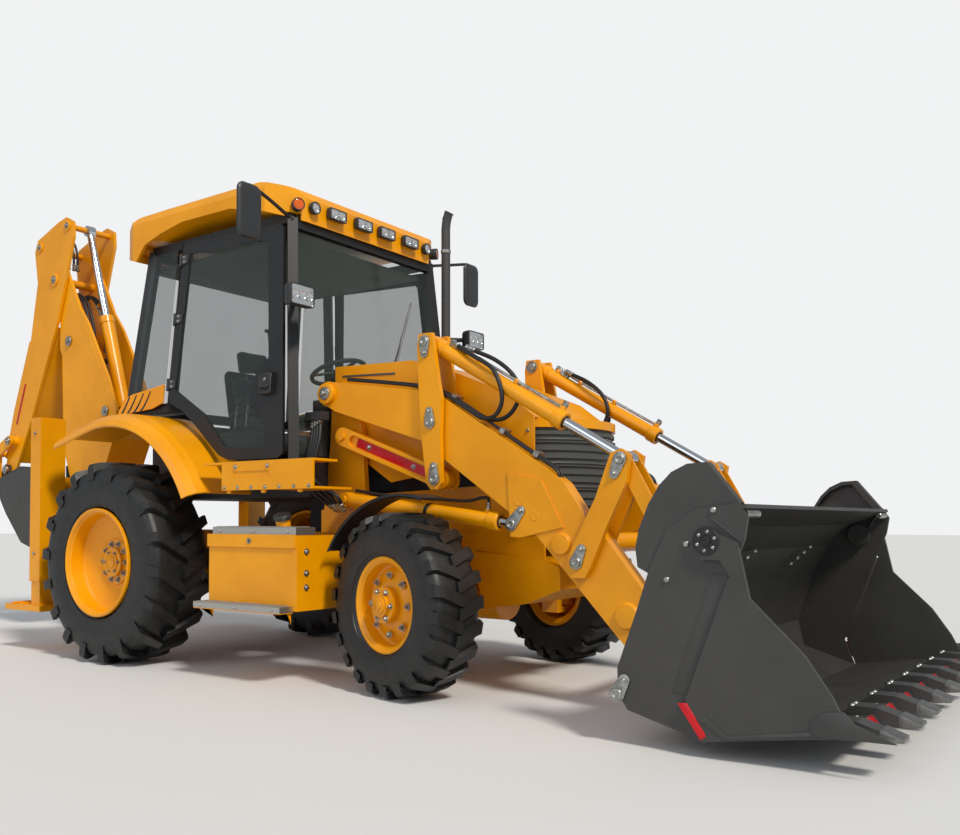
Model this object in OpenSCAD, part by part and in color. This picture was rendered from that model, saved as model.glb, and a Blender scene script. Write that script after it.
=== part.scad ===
// Backhoe loader with four-in-one shovel, at full size in millimetres.
// X runs forward, Y to the machine's left, Z up from the ground.
// Profiles are measured from the rear axle's centre line; origin_x moves them to the middle of the length.

/* [Wheels] */
// Distance between the axles
wheelbase = 2352; // [2250:1:2450]
// Rear tyre radius to the lug tips
rear_radius = 660; // [645:1:675]
// Rear tyre width
rear_width = 430; // [400:1:440]
// Rear tyre middle from the centre line
rear_track = 940; // [930:1:950]
// Front tyre radius to the lug tips
front_radius = 490; // [480:1:500]
// Front tyre width
front_width = 320; // [300:1:330]
// Front tyre middle from the centre line, wheels straight
front_track = 840; // [830:1:850]
// Kingpin from the centre line
kingpin_y = 800; // [790:1:810]
// Angle at which the front wheels are parked, negative to the right
park_steer = -13.3; // [-14:0.1:-12]
// Depth of the rear lugs
rear_lug = 44; // [30:1:50]
// Depth of the front lugs
front_lug = 26; // [20:1:32]
// Rear lugs on each side of a tyre
rear_lugs = 18; // [16:1:20]
// Front lugs on each side of a tyre
front_lugs = 22; // [20:1:24]

/* [Loader] */
// Middle of a loader arm from the centre line
arm_y = 555; // [550:1:560]
// Thickness of a loader arm
arm_width = 90; // [80:1:94]
// Thickness of a lever or rocker plate
rocker_plate = 28; // [20:1:30]
// Radius of the lift and tilt cylinder barrels
barrel_radius = 46; // [42:1:48]
// Radius of the loader cylinder rods
rod_radius = 27; // [25:1:30]
// Gap between a rod and its barrel
rod_gap = 0.5; // [0.3:0.1:1]
// Outer side of the shovel from the centre line
shovel_half = 1170; // [1150:1:1180]
// Shovel plate thickness
shovel_plate = 18; // [14:1:22]

/* [Cab] */
// Outer side of the cab at the door's foot
cab_half = 820; // [810:1:830]
// Inward lean of the cab's sides
cab_lean = 3.9; // [3.5:0.1:4.3]
// Thickness of the cab posts
post = 62; // [54:1:66]
// Thickness of the window glass
glass = 6; // [5:1:8]
// Height of the roof's crown
roof_top = 3100; // [3090:1:3110]

/* [Body] */
// Half width of the hood
hood_half = 430; // [420:1:436]
// Sheet thickness of the panels
sheet = 14; // [10:1:16]
// Half width of the chassis rails
rail_half = 330; // [320:1:335]
// Fender radius about the rear axle
fender_radius = 985; // [975:1:990]
// Outer edge of the fender from the centre line
fender_out = 1100; // [1090:1:1110]

/* [Backhoe] */
// Slew axis behind the rear axle
slew_x = -1440; // [-1450:1:-1430]
// Outer half width of the boom
boom_half = 178; // [170:1:180]
// Thickness of the boom's side plates
boom_plate = 25; // [20:1:27]
// Outer half width of the dipper
dipper_half = 208; // [204:1:212]
// Half width of the backhoe bucket
hoe_half = 320; // [310:1:330]
// Outer half width of the kingpost's ears
ear_out = 143; // [135:1:145]
// Radius of the backhoe cylinder barrels
hoe_barrel = 56; // [52:1:60]
// Radius of the backhoe cylinder rods
hoe_rod = 30; // [28:1:32]

/* [Hidden] */
$fn = 64;
// Ends of the machine: shovel's tooth tips and the ears of the folded backhoe bucket
tooth_tip_x = 4887;
hoe_end_x = -3000;
origin_x = (tooth_tip_x + hoe_end_x) / 2;
yellow = "#E59400";
black = "#1E1F20";
charcoal = "#3B3A3A";
steel = "#8F9396";
dark = "#2A2B2C";
rubber = "#1B1B1B";

// Loader pins, [x, z] from the rear axle's centre line
arm_pin = [1542, 1700];
level_pin = [1645, 1438];
lift_pin = [1664, 1058];
lever_pin = [2360, 1478];
lever_foot = [2392, 1163];
lever_head = [2323, 1929];
lift_eye = [2880, 915];
rocker_pin = [3285, 728];
rocker_head = [3527, 1231];
shovel_pin = [3692, 290];
tip_pin = [3836, 685];
jaw_pin = [4183, 850];
tube_a = [3171, 813];
tube_b = [3542, 477];

// Backhoe pins, [x, z]
boom_pin = [-1600, 860];
ram_pin = [-1880, 700];
ram_eye = [-1941, 2466];
dipper_pin = [-2130, 3012];
dipper_foot = [-1400, 1830];
dipper_eye = [-1935, 3450];
crowd_pin = [-2360, 3332];
crowd_eye = [-2947, 1534];
guide_pin = [-2720, 1640];
bucket_pin = [-2830, 1390];
link_foot = [-2952, 1244];

// Column order: x, z of the loader arm's outline
arm_outline = [
    [1480, 1655], [1475, 1735], [1560, 1772], [2253, 1668], [2425, 1612], [3080, 1205], [3190, 1125],
    [3328, 933], [3399, 880], [3650, 573], [3728, 380], [3752, 305], [3740, 245], [3705, 225], [3640, 225],
    [3499, 359], [3028, 857], [2826, 1001], [2439, 1265], [2263, 1384], [1600, 1590]];
gusset_outline = [[2851, 1190], [2872, 850], [2930, 845], [3190, 900], [3060, 1140]];
lever_outline = [
    [2280, 1975], [2372, 1975], [2418, 1700], [2439, 1604], [2432, 1400], [2440, 1140],
    [2415, 1105], [2365, 1105], [2335, 1140], [2300, 1400], [2280, 1663], [2268, 1900]];
rocker_outline = [
    [3222, 700], [3254, 790], [3392, 1050], [3475, 1262], [3530, 1282], [3580, 1250],
    [3560, 1120], [3450, 900], [3360, 700], [3330, 650], [3250, 650]];
guard_outline = [
    [3962, 696], [3870, 742], [3860, 820], [3876, 899], [3920, 1004], [3968, 1080], [4021, 1132],
    [4090, 1164], [4174, 1169], [4309, 1005], [4250, 900], [4100, 760]];
shell_side = [
    [3785, 213], [3782, 322], [3870, 560], [3930, 740], [4010, 900], [4130, 980], [4309, 1005], [4345, 950],
    [4330, 860], [4271, 721], [4087, 226], [4149, 66], [3829, 150]];
shell_wall = [
    [3797, 213], [3800, 330], [3906, 620], [3990, 800], [4120, 925], [4332, 1000], [4337, 984], [4130, 908],
    [4005, 788], [3914, 612], [3815, 327], [3850, 175], [4149, 84], [4149, 66], [3829, 150]];
jaw_side = [
    [4309, 851], [4357, 636], [4564, 434], [4662, 292], [4733, 150], [4578, 131], [4248, 79], [4149, 66],
    [4095, 226], [4278, 721], [4240, 780], [4165, 780], [4130, 850], [4183, 905]];
hood_outline = [
    [1437, 1895], [2060, 1878], [2290, 1812], [2704, 1648], [2905, 1500], [2905, 1230],
    [2379, 1230], [1898, 1162], [1614, 1340], [1437, 1583]];
door_outline = [
    [262, 1760], [285, 1712], [420, 1650], [560, 1550], [700, 1432], [810, 1345], [900, 1312], [1350, 1306],
    [1392, 1335], [1288, 2735], [1265, 2762], [345, 2800], [322, 2785]];
door_window = [
    [335, 1795], [450, 1728], [647, 1615], [760, 1500], [861, 1402], [920, 1384], [1215, 1376], [1234, 1400],
    [1238, 1500], [1185, 1560], [1105, 1625], [1078, 1690], [1080, 1765], [1120, 1835], [1180, 1890],
    [1222, 1930], [1160, 2660], [1140, 2685], [400, 2715]];
quarter_outline = [[-150, 1812], [204, 1856], [248, 2768], [-24, 2768]];
quarter_panel = [[-305, 1668], [-240, 1772], [-150, 1804], [206, 1848], [204, 1724], [90, 1690]];
roof_side = [
    [1352, 2786], [1352, 2935], [1318, 2985], [1095, 3040], [850, 3072], [594, 3092], [371, 3100], [139, 3084],
    [-128, 3030], [-279, 2976], [-330, 2900], [-330, 2812], [-282, 2776], [-124, 2726], [-27, 2830],
    [141, 2876], [373, 2916], [852, 2913], [1096, 2859]];
roof_section = [
    [-790, 2700], [-790, 2985], [-770, 3036], [-700, 3076], [-400, 3100], [400, 3100], [700, 3076], [770, 3036],
    [790, 2985], [790, 2700]];
boom_outline = [
    [-2195, 3020], [-2130, 3092], [-1985, 3075], [-1800, 2745], [-1672, 2590], [-1374, 2100], [-1254, 1829], [-1290, 1600],
    [-1535, 1120], [-1530, 960], [-1500, 830], [-1600, 752], [-1705, 830], [-1990, 1500], [-2013, 1807], [-2040, 2331],
    [-2083, 2420], [-2083, 2641]];
dipper_outline = [
    [-2080, 3505], [-1960, 3530], [-1860, 3480], [-1850, 3350], [-1960, 2990], [-2077, 2647], [-2471, 1833],
    [-2740, 1350], [-2830, 1300], [-2905, 1360], [-2741, 1926], [-2498, 2522], [-2395, 3022], [-2445, 3300],
    [-2400, 3400]];
hoe_outline = [
    [-2850, 1290], [-2700, 1335], [-2438, 1405], [-2150, 1385], [-2050, 1290], [-2030, 1000], [-2095, 790],
    [-2250, 695], [-2424, 745], [-2680, 1000], [-2835, 1200]];
hoe_wall = [
    [-2835, 1200], [-2680, 1000], [-2424, 745], [-2250, 695], [-2095, 790], [-2030, 1000], [-2050, 1290],
    [-2068, 1289], [-2048, 1004], [-2108, 802], [-2254, 714], [-2414, 762], [-2666, 1013], [-2820, 1211]];
hoe_ear = [
    [-2780, 1340], [-2790, 1430], [-2860, 1440], [-2980, 1300], [-3000, 1235], [-2960, 1180], [-2870, 1185],
    [-2790, 1100], [-2740, 1110], [-2740, 1240]];

module placed() translate([-origin_x, 0, 0]) children();

module both() {
    children();
    mirror([0, 1, 0]) children();
}

// Flat plate with an [x, z] outline between two y values
module plate(points, y0, y1)
    translate([0, y1, 0]) rotate([90, 0, 0]) linear_extrude(y1 - y0) polygon(points);

module block(x0, x1, y0, y1, z0, z1)
    translate([x0, y0, z0]) cube([x1 - x0, y1 - y0, z1 - z0]);

// Disc or pin along y
module pin(p, r, y0, y1)
    translate([p[0], y1, p[1]]) rotate([90, 0, 0]) cylinder(r = r, h = y1 - y0);

// Round bar in the xz plane from p towards q, between two distances from p
module bar(p, q, r, y, a, b)
    translate([p[0], y, p[1]]) rotate([0, atan2(q[0] - p[0], q[1] - p[1]), 0])
        translate([0, 0, a]) cylinder(r = r, h = b - a);

function span(p, q) = norm([q[0] - p[0], q[1] - p[1]]);

// Flat bar with round ends in the xz plane
module link(p, q, r, y0, y1) {
    a = atan2(q[1] - p[1], q[0] - p[0]);
    plate(concat(
        [for (t = [90:12:270]) p + r * [cos(a + t), sin(a + t)]],
        [for (t = [-90:12:90]) q + r * [cos(a + t), sin(a + t)]]), y0, y1);
}

// Square post between two points
module strut(p, q, w, d) {
    v = q - p;
    translate(p) rotate([0, acos(v[2] / norm(v)), atan2(v[1], v[0])])
        translate([-w / 2, -d / 2, 0]) cube([w, d, norm(v)]);
}

module leaning()
    translate([0, -cab_half, 1290]) rotate([-cab_lean, 0, 0]) translate([0, cab_half, -1290]) children();

// Cylinder barrel with its eye at p, rod side towards q
module barrel(p, q, r, rod, y, length, eye) {
    difference() {
        union() {
            bar(p, q, r, y, eye, length);
            bar(p, q, r + 5, y, length - 60, length);
        }
        bar(p, q, rod + rod_gap, y, eye + 40, length + 1);
    }
    difference() {
        pin(p, eye + 4, y - 34, y + 34);
        pin(p, 25.3, y - 41, y + 41);
    }
}

// Cylinder rod with its eye at q, carrying the middle of its own pin
module rod(p, q, r, y, start, eye) {
    bar(p, q, r, y, start, span(p, q) - eye + 4);
    pin(q, eye, y - 32, y + 32);
    pin(q, 25, y - 36, y + 36);
}

// Chassis rails, loader towers, front frame and nose weight
module chassis() color(yellow) placed() {
    both() {
        difference() {
            plate([[-1050, 560], [wheelbase - 152, 560], [wheelbase - 92, 650], [2450, 650], [2450, 860],
                [-1050, 860]],
                rail_half - 30, rail_half);
            pin([0, rear_radius], 105.3, 0, rail_half + 1);
        }
        block(1380, 1740, rail_half - 30, 490, 860, 1000);
        plate([[1380, 860], [1740, 860], [1745, 1100], [1715, 1480], [1610, 1765], [1540, 1790], [1470, 1760],
            [1450, 1400]], 450, 485);
        pin(arm_pin, 60, 485, 505);
        pin(arm_pin, 25, 485, 602);
        pin(level_pin, 25, 485, 602);
        pin(lift_pin, 25, 485, 606);
        plate([[1740, 860], [2900, 700], [2900, 1150], [1740, 1100]], 300, 322);
    }
    block(-1050, -1020, -rail_half, rail_half, 560, 860);
    block(-400, -360, -rail_half, rail_half, 600, 860);
    block(700, 760, -rail_half, rail_half, 740, 860);
    block(wheelbase - 112, wheelbase + 108, 1 - rail_half, rail_half - 1, front_radius + 150.3, 700);
    plate([[2457, 603], [2505, 436], [2791, 476], [3010, 561], [3003, 684], [2900, 720], [2440, 760],
        [2440, 650], [2457, 650]], -rail_half, rail_half);
}

// Rear cross frame with its slide rails and stabiliser tubes
module rear_frame() color(yellow) placed() {
    block(-1110, -1050, -860, 860, 1130, 1250);
    block(-1110, -1050, -860, 860, 500, 620);
    both() {
        block(-1110, -1050, 300, 360, 560, 1200);
        block(-1050, -900, 720, 862, 500, 620);
        block(-1050, -900, 720, 862, 1130, 1250);
        difference() {
            block(-980, -850, 860, 1050, 500, 1670);
            block(-970, -860, 870, 1040, 499, 1660);
        }
    }
}

// Engine, gearbox and rear axle, as plain blocks of their real size
module driveline() color(dark) placed() {
    block(1800, 2560, -250, 250, 880, 1480);
    block(1000, 1801, -210, 210, 640, 1080);
    block(190, 1001, -45, 45, 630, 720);
    pin([0, rear_radius], 200, -190, 190);
    pin([0, rear_radius], 105, -860, 860);
    both() pin([0, rear_radius], 165, 690, 900);
}

module hood_solid(inset) {
    plate([for (p = hood_outline) p + [inset * 0.4, p[1] > 1450 ? -inset : -inset * 3]],
        -hood_half + inset, hood_half - inset);
}

// Engine hood, open underneath
module hood() color(yellow) placed() {
    difference() {
        plate(hood_outline, -hood_half, hood_half);
        hood_solid(sheet);
        plate([[1400, 1100], [1400, 1500], [2960, 1480], [2960, 1100]], -hood_half + sheet, hood_half - sheet);
    }
    intersection() {
        translate([2640, 0, 1440]) cylinder(r = 470, h = 48);
        block(2880, 3200, -400, 400, 1400, 1500);
    }
}

// Ribbed grille under the hood's lip
module grille() color(dark) placed() {
    intersection() {
        difference() {
            translate([2640, 0, 1000]) cylinder(r = 452, h = 438);
            translate([2640, 0, 999]) cylinder(r = 430, h = 440);
        }
        block(2860, 3200, -395, 395, 1000, 1440);
    }
    intersection() {
        for (i = [0:9]) difference() {
            translate([2640, 0, 1015 + i * 43]) cylinder(r = 464, h = 20);
            translate([2640, 0, 1014 + i * 43]) cylinder(r = 440, h = 22);
        }
        block(2860, 3200, -390, 390, 1000, 1440);
    }
}

// Cab posts and rails
module cab_frame() color(black) placed() {
    both() {
        strut([1440, 784, 1150], [1300, 672, 2800], post, post);
        strut([235, 752, 1660], [282, 672, 2800], post, post);
        strut([-213, 745, 1720], [-60, 672, 2800], post, post);
        strut([-60, 672, 2800], [1300, 672, 2800], post, 50);
        block(-250, 260, 600, 770, 1663, 1722);
        block(900, 1440, 560, 770, 1130, 1180);
        block(1400, 1450, 505, 790, 1130, 1329.4);
    }
    block(1275, 1325, -672, 672, 2740, 2805);
    block(-90, -40, -672, 672, 2740, 2805);
    block(-245, -195, -770, 770, 1662, 1729.4);
    block(1400, 1450, -440, 440, 1130, 1329.4);
}

// Roof shell: domed along and across, with a skirt that hangs outside the posts
module cab_roof() color(yellow) placed() translate([0, 0, roof_top - 3100]) difference() {
    intersection() {
        plate(roof_side, -790, 790);
        rotate([90, 0, 90]) linear_extrude(4000, center = true) polygon(roof_section);
        linear_extrude(3200) polygon([[1352, -600], [1352, 600], [1290, 720], [1180, 790], [-160, 790], [-270, 740],
            [-330, 620], [-330, -620], [-270, -740], [-160, -790], [1180, -790], [1290, -720]]);
    }
    block(-270, 1334, -716, 716, 2700, 2832);
    block(-140, 1180, -770, 770, 2700, 2860);
}

// Windscreen, rear window and rear side windows
module cab_glass() color([0.6, 0.75, 0.75, 0.4]) placed() {
    windscreen = [[92 - cab_half, 0], [cab_half - 92, 0], [cab_half - 190, 1404], [190 - cab_half, 1404]];
    rear_pane = [[120 - cab_half, 0], [cab_half - 120, 0], [cab_half - 188, 1006], [188 - cab_half, 1006]];
    translate([1420, 0, 1330.3]) rotate([0, -4.85, 0]) rotate([90, 0, 90]) linear_extrude(glass) polygon(windscreen);
    translate([-218, 0, 1730.3]) rotate([0, 7.9, 0]) rotate([90, 0, 90]) linear_extrude(glass) polygon(rear_pane);
    both() leaning() plate(quarter_outline, -cab_half - 1, -cab_half - 1 + glass);
}

// Cab floor, console, steering column and wheel
module cab_interior() color(dark) placed() {
    block(-190, 1400, -610, 610, 1080, 1130);
    block(1230, 1360, -420, 420, 1130, 1700);
    block(-180, 150, -600, 600, 1130, 1600);
    strut([1230, 0, 1400], [1060, 0, 1930], 90, 90);
    translate([1050, 0, 1950]) rotate([0, -20, 0]) {
        rotate_extrude() translate([185, 0]) circle(r = 15);
        cylinder(r = 40, h = 30, center = true);
        for (a = [0, 120, 240]) rotate([0, 0, a]) translate([0, -12, -6]) cube([190, 24, 12]);
    }
}

// Driver's seat
module seat() color("#303234") placed() {
    block(330, 700, -180, 180, 1130, 1400);
    block(240, 780, -250, 250, 1400, 1520);
    strut([280, 0, 1500], [160, 0, 2180], 120, 480);
    both() block(330, 640, 255, 310, 1660, 1710);
}

// Rear fenders with the sills below the doors
module fenders() color(yellow) placed() {
    section = [[fender_radius, 612], [fender_radius, 980], [fender_radius - 15, 1040], [fender_radius - 50, 1082],
        [fender_radius - 88, fender_out], [fender_radius - 98, fender_out - 8], [fender_radius - 62, 1072],
        [fender_radius - 29, 1032], [fender_radius - sheet, 975], [fender_radius - sheet, 612]];
    both() translate([0, 0, rear_radius]) mirror([0, 1, 0]) rotate([90, 0, 0]) {
        rotate([0, 0, 27]) rotate_extrude(angle = 77) polygon(section);
        rotate([0, 0, 104]) rotate([90, 0, 0]) translate([0, 0, -400]) linear_extrude(400) polygon(section);
    }
    for (side = [0, 1]) mirror([0, side, 0]) leaning()
        plate(quarter_panel, -cab_half - 10, -cab_half - 2);
    both() {
        difference() {
            block(1069, 1833, 1000, 1000 + sheet, 1112, 1282);
            block(1180, 1480, 1000 + sheet - 5, 1001 + sheet, 1186, 1222);
        }
        block(900, 1833, 819, 1012, 1268, 1282);
        block(1455, 1833, 700, 1012, 1112, 1126);
    }
}

// Front mudguards, each on a stay from the chassis rail
module mudguards() color(black) placed() {
    r = front_radius + 98;
    both() {
        translate([wheelbase, 0, front_radius]) mirror([0, 1, 0]) rotate([90, 0, 0])
            rotate([0, 0, 74]) rotate_extrude(angle = 78)
                polygon([[r, 700], [r, 900], [r - 14, 912], [r - 20, 906], [r - 7, 894], [r - 7, 700]]);
        translate([wheelbase, 0, front_radius]) rotate([0, -150, 0]) block(r - 34, r - 4, rail_half + 0.3, 720, -20, 16);
    }
}

// Tool and battery boxes with their treads
module step_boxes() color(yellow) placed() {
    both() {
        block(1005, 1751, 640, 1050, 430, 849);
        block(1000, 1745, 1050, 1062, 780, 855);
        block(1100, 1300, rail_half, 640, 560, 640);
        block(1040, 1740, 900, 1050, 849, 892);
        block(990, 1720, 1050, 1150, 420, 455);
    }
}

// Exhaust stack with its turned tip
module exhaust() color(dark) placed() {
    translate([1632, 452, 1891]) cylinder(r = 34, h = 1090);
    bar([1628, 2960], [1660, 3062], 27, 452, 0, 106);
}

// Roof lamps, work lamps and mirrors
module lamps() color(charcoal) placed() {
    both() {
        for (y = [115, 365]) block(1352.3, 1402, y - 75, y + 75, 2842, 2915);
        translate([1321.3, 660.2, 2872]) rotate([0, 90, 27.3]) cylinder(r = 40, h = 60);
        translate([1352.3, 555, 2878]) rotate([0, 90, 0]) cylinder(r = 40, h = 36);
        translate([-330.3, 560, 2856]) rotate([0, -90, 0]) cylinder(r = 40, h = 36);
        block(1520, 1600, 770, 960, 2180, 2310);
        difference() {
            union() {
                strut([1346, 712, 2250], [1560, 860, 2250], 40, 40);
                strut([1304, 690, 2790], [1372, 1088, 2860], 24, 24);
            }
            strut([1440, 784, 1150], [1300, 672, 2800], post + 0.6, post + 0.6);
            block(1200, 1400, 560, 702, 2700, 2832);
        }
        strut([1372, 1088, 2870], [1374, 1088, 2600], 20, 20);
        block(1374, 1400, 1000, 1176, 2560, 2880);
    }
}

// Oscillating front axle with its forks
module front_axle() color(yellow) placed() {
    translate([wheelbase, 0, front_radius]) {
        rotate([90, 0, 0]) cylinder(r = 85, h = 1380, center = true);
        rotate([0, 90, 0]) cylinder(r = 150, h = 200, center = true);
        both() {
            block(-60, 60, 660, 850, 122, 160);
            block(-60, 60, 660, 850, -160, -122);
            block(-60, 60, 640, 695, -160, 160);
        }
    }
}

// Towing eye under the nose
module eyes() color(yellow) placed() {
    difference() {
        union() {
            pin([3065, 600], 45, -14, 14);
            plate([[3010.8, 562], [3065, 556], [3065, 644], [3006, 642]], -14, 14);
        }
        pin([3065, 600], 22, -15, 15);
    }
}

module at_kingpin(side) translate([wheelbase, side * kingpin_y, front_radius]) rotate([0, 0, park_steer])
    children();

// Steering knuckle with its wheel stub
module knuckle(side) color(yellow) placed() at_kingpin(side) {
    translate([0, 0, -118]) cylinder(r = 72, h = 236);
    rotate([side * -90, 0, 0]) cylinder(r = 60, h = 118);
}

// Wheel rim section: [radius, axial place], outer side positive
module front_rim(side) color(yellow) placed() at_kingpin(side)
    translate([0, side * (front_track - kingpin_y), 0]) rotate([side * -90, 0, 0]) {
        rotate_extrude() polygon([[254, 118], [254, 132], [240, 134], [222, 118], [214, 60], [200, 52], [120, 92],
            [60, 94], [60, 82], [118, 80], [196, 36], [204, -110], [236, -132], [254, -130], [254, -118],
            [240, -118], [222, -96], [222, 100], [240, 118]]);
        translate([0, 0, 82]) cylinder(r = 95, h = 60);
        translate([0, 0, 142]) cylinder(r = 62, h = 18);
    }

module rear_rim(side) color(yellow) placed()
    translate([0, side * rear_track, rear_radius]) rotate([side * -90, 0, 0]) {
        rotate_extrude() polygon([[353, 196], [353, 214], [336, 214], [318, 190], [308, 110], [290, 100], [165, 60],
            [60, 60], [60, 42], [170, 42], [296, 84], [300, -150], [336, -210], [353, -210], [353, -196],
            [340, -190], [316, -140], [316, 100], [330, 180], [340, 196]]);
        cylinder(r = 150, h = 70);
        cylinder(r = 95, h = 95);
    }

// Tyre carcass and lugs about the z axis
module tyre(r, w, bead, lug, count, lug_w, skew) {
    c = r - lug;
    half = (skew + lug_w) / 2;
    top = sqrt(r * r - half * half);
    rotate_extrude() polygon([[bead, -w / 2 + 30], [bead + 30, -w / 2 + 8], [(c + bead) / 2, -w / 2], [c - 50, -w / 2 + 8],
        [c - 8, -w / 2 + 34], [c, -w / 4], [c, w / 4], [c - 8, w / 2 - 34], [c - 50, w / 2 - 8],
        [(c + bead) / 2, w / 2], [bead + 30, w / 2 - 8], [bead, w / 2 - 30]]);
    for (i = [0:count - 1], s = [-1, 1]) rotate([0, 0, (i + (s > 0 ? 0 : 0.5)) * 360 / count + 270])
        translate([c - 40, 0, 0]) rotate([90, 0, 90]) linear_extrude(top - c + 40)
            polygon([[-half, -s * 18], [-half + lug_w, -s * 18], [half, s * w / 2], [half - lug_w, s * w / 2]]);
}

module front_tyre(side) color(rubber) placed() at_kingpin(side)
    translate([0, side * (front_track - kingpin_y), 0]) rotate([side * -90, 0, 0])
        tyre(front_radius, front_width, 254, front_lug, front_lugs, 62, 60);

module rear_tyre(side) color(rubber) placed()
    translate([0, side * rear_track, rear_radius]) rotate([side * -90, 0, 0])
        tyre(rear_radius, rear_width, 353, rear_lug, rear_lugs, 62, 120);

module knuckle_left() knuckle(1);
module knuckle_right() knuckle(-1);
module rim_front_left() front_rim(1);
module rim_front_right() front_rim(-1);
module rim_rear_left() rear_rim(1);
module rim_rear_right() rear_rim(-1);
module tyre_front_left() front_tyre(1);
module tyre_front_right() front_tyre(-1);
module tyre_rear_left() rear_tyre(1);
module tyre_rear_right() rear_tyre(-1);

// Door frame around its glass, on the right-hand side
module door() leaning() {
    difference() {
        plate(door_outline, -cab_half - 12, -cab_half + 8);
        plate(door_window, -cab_half - 13, -cab_half + 9);
    }
    block(1180, 1290, -cab_half - 40, -cab_half - 10, 1700, 1830);
}
module door_pane() leaning() plate(door_window, -cab_half - 6, -cab_half - 6 + glass);

module door_right() color(black) placed() door();
module door_left() color(black) placed() mirror([0, 1, 0]) door();
module door_glass_right() color([0.6, 0.75, 0.75, 0.4]) placed() door_pane();
module door_glass_left() color([0.6, 0.75, 0.75, 0.4]) placed() mirror([0, 1, 0]) door_pane();

// Loader arms joined by their cross tubes
module loader_arms() color(yellow) placed() {
    y0 = arm_y - arm_width / 2;
    y1 = arm_y + arm_width / 2;
    both() {
        difference() {
            union() {
                plate(arm_outline, y0, y1);
                plate(gusset_outline, y0 - 8, y0 + 5);
                plate(gusset_outline, y1 - 5, y1 + 8);
                pin(arm_pin, 76, y0, y1);
            }
            pin(arm_pin, 25.3, y0 - 1, y1 + 20);
            plate([[2600, 1010], [2700, 1060], [2990, 1060], [3030, 960], [3030, 830], [2600, 830]],
                y0 + 5, y1 - 5);
            pin(rocker_pin, 34.3, y0 - 1, y1 + 1);
            pin(shovel_pin, 34.3, y0 - 1, y1 + 1);
        }
        pin(lift_eye, 25, y0 - 12, y0 + 5);
        pin(lift_eye, 25, y1 - 5, y1 + 12);
        pin(tube_a, 54, 0, y0);
        pin(tube_b, 58, 0, y0);
        pin(lever_pin, 25, y0 - 42, y0);
        pin(lever_pin, 25, y1, y1 + 42);
    }
}

// Levers that keep the shovel level, one plate on each side of an arm
module tilt_levers() color(yellow) placed() both() {
    for (y = [arm_y - 85, arm_y + 57]) difference() {
        plate(lever_outline, y, y + rocker_plate);
        pin(lever_pin, 25.3, y - 1, y + rocker_plate + 1);
    }
    pin(lever_head, 25, arm_y - 85, arm_y + 88);
    pin(lever_foot, 25, arm_y - 88, arm_y - 57);
    pin(lever_foot, 25, arm_y + 57, arm_y + 88);
}

// Level links from the towers to the levers' feet
module level_links() color(yellow) placed() both() {
    difference() {
        link(level_pin, lever_foot, 54, arm_y - 32, arm_y + 32);
        link(level_pin + [90, -33], lever_foot + [-90, 33], 34, arm_y + 14, arm_y + 33);
        link(level_pin + [90, -33], lever_foot + [-90, 33], 34, arm_y - 33, arm_y - 14);
        pin(level_pin, 25.3, arm_y - 33, arm_y + 33);
    }
    pin(lever_foot, 25, arm_y - 52, arm_y + 52);
}

module lift_barrels() color(yellow) placed() both()
    barrel(lift_pin, lift_eye, barrel_radius - 2, rod_radius, arm_y, 1116, 42);
module lift_rods() color(steel) placed() both() rod(lift_pin, lift_eye, rod_radius, arm_y, 300, 44);
module tilt_barrels() color(yellow) placed() both()
    barrel(lever_head, rocker_head, barrel_radius - 4, rod_radius, arm_y, 980, 40);
module tilt_rods() color(steel) placed() both() rod(lever_head, rocker_head, rod_radius, arm_y, 330, 42);

// Pins on which the rockers turn in the arms
module rocker_pins() color(steel) placed() both() pin(rocker_pin, 34, arm_y - 46, arm_y + 46);

module rockers() color(yellow) placed() both() {
    for (y = [arm_y - 85, arm_y + 57]) difference() {
        plate(rocker_outline, y, y + rocker_plate);
        pin(rocker_head, 25.3, y - 1, y + rocker_plate + 1);
    }
}

// Pins at the rockers' heads, one on each side of the tilt rod's eye
module tip_pins() color(steel) placed() both() {
    pin(rocker_head, 25, arm_y - 88, arm_y - 40);
    pin(rocker_head, 25, arm_y + 40, arm_y + 88);
}

module tip_links() color(yellow) placed() both() {
    for (y = [arm_y - 54, arm_y + 40]) difference() {
        link(rocker_head, tip_pin, 40, y, y + 14);
        pin(rocker_head, 25.3, y - 1, y + 15);
    }
    pin(tip_pin, 25, arm_y - 54, arm_y + 54);
    pin((rocker_head + 2 * tip_pin) / 3, 20, arm_y - 41, arm_y + 41);
}

module shovel_pins() color(steel) placed() both() pin(shovel_pin, 34, arm_y - 46, arm_y + 46);

// Rear shell of the shovel with its side guards
module shovel_shell() color(charcoal) placed() {
    both() {
        plate(shell_side, shovel_half - shovel_plate, shovel_half);
        difference() {
            plate(guard_outline, shovel_half - 62, shovel_half - 14);
            plate([for (p = guard_outline) p + [p[0] > 4150 ? -24 : 4, p[1] > 1000 ? -22 : -40]],
                shovel_half - 63, shovel_half - 26);
        }
        pin(jaw_pin, 60, shovel_half - 60, shovel_half);
        for (y = [arm_y - 83, arm_y + 58])
            plate([[3650, 235], [3655, 315], [3748, 500], [3792, 720], [3850, 745], [3950, 715], [3900, 600], [3810, 330],
                [3810, 215], [3740, 215]], y, y + 25);
        pin(tip_pin, 25, arm_y - 87, arm_y - 58);
        pin(tip_pin, 25, arm_y + 58, arm_y + 87);
    }
    plate(shell_wall, -shovel_half, shovel_half);
}

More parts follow.
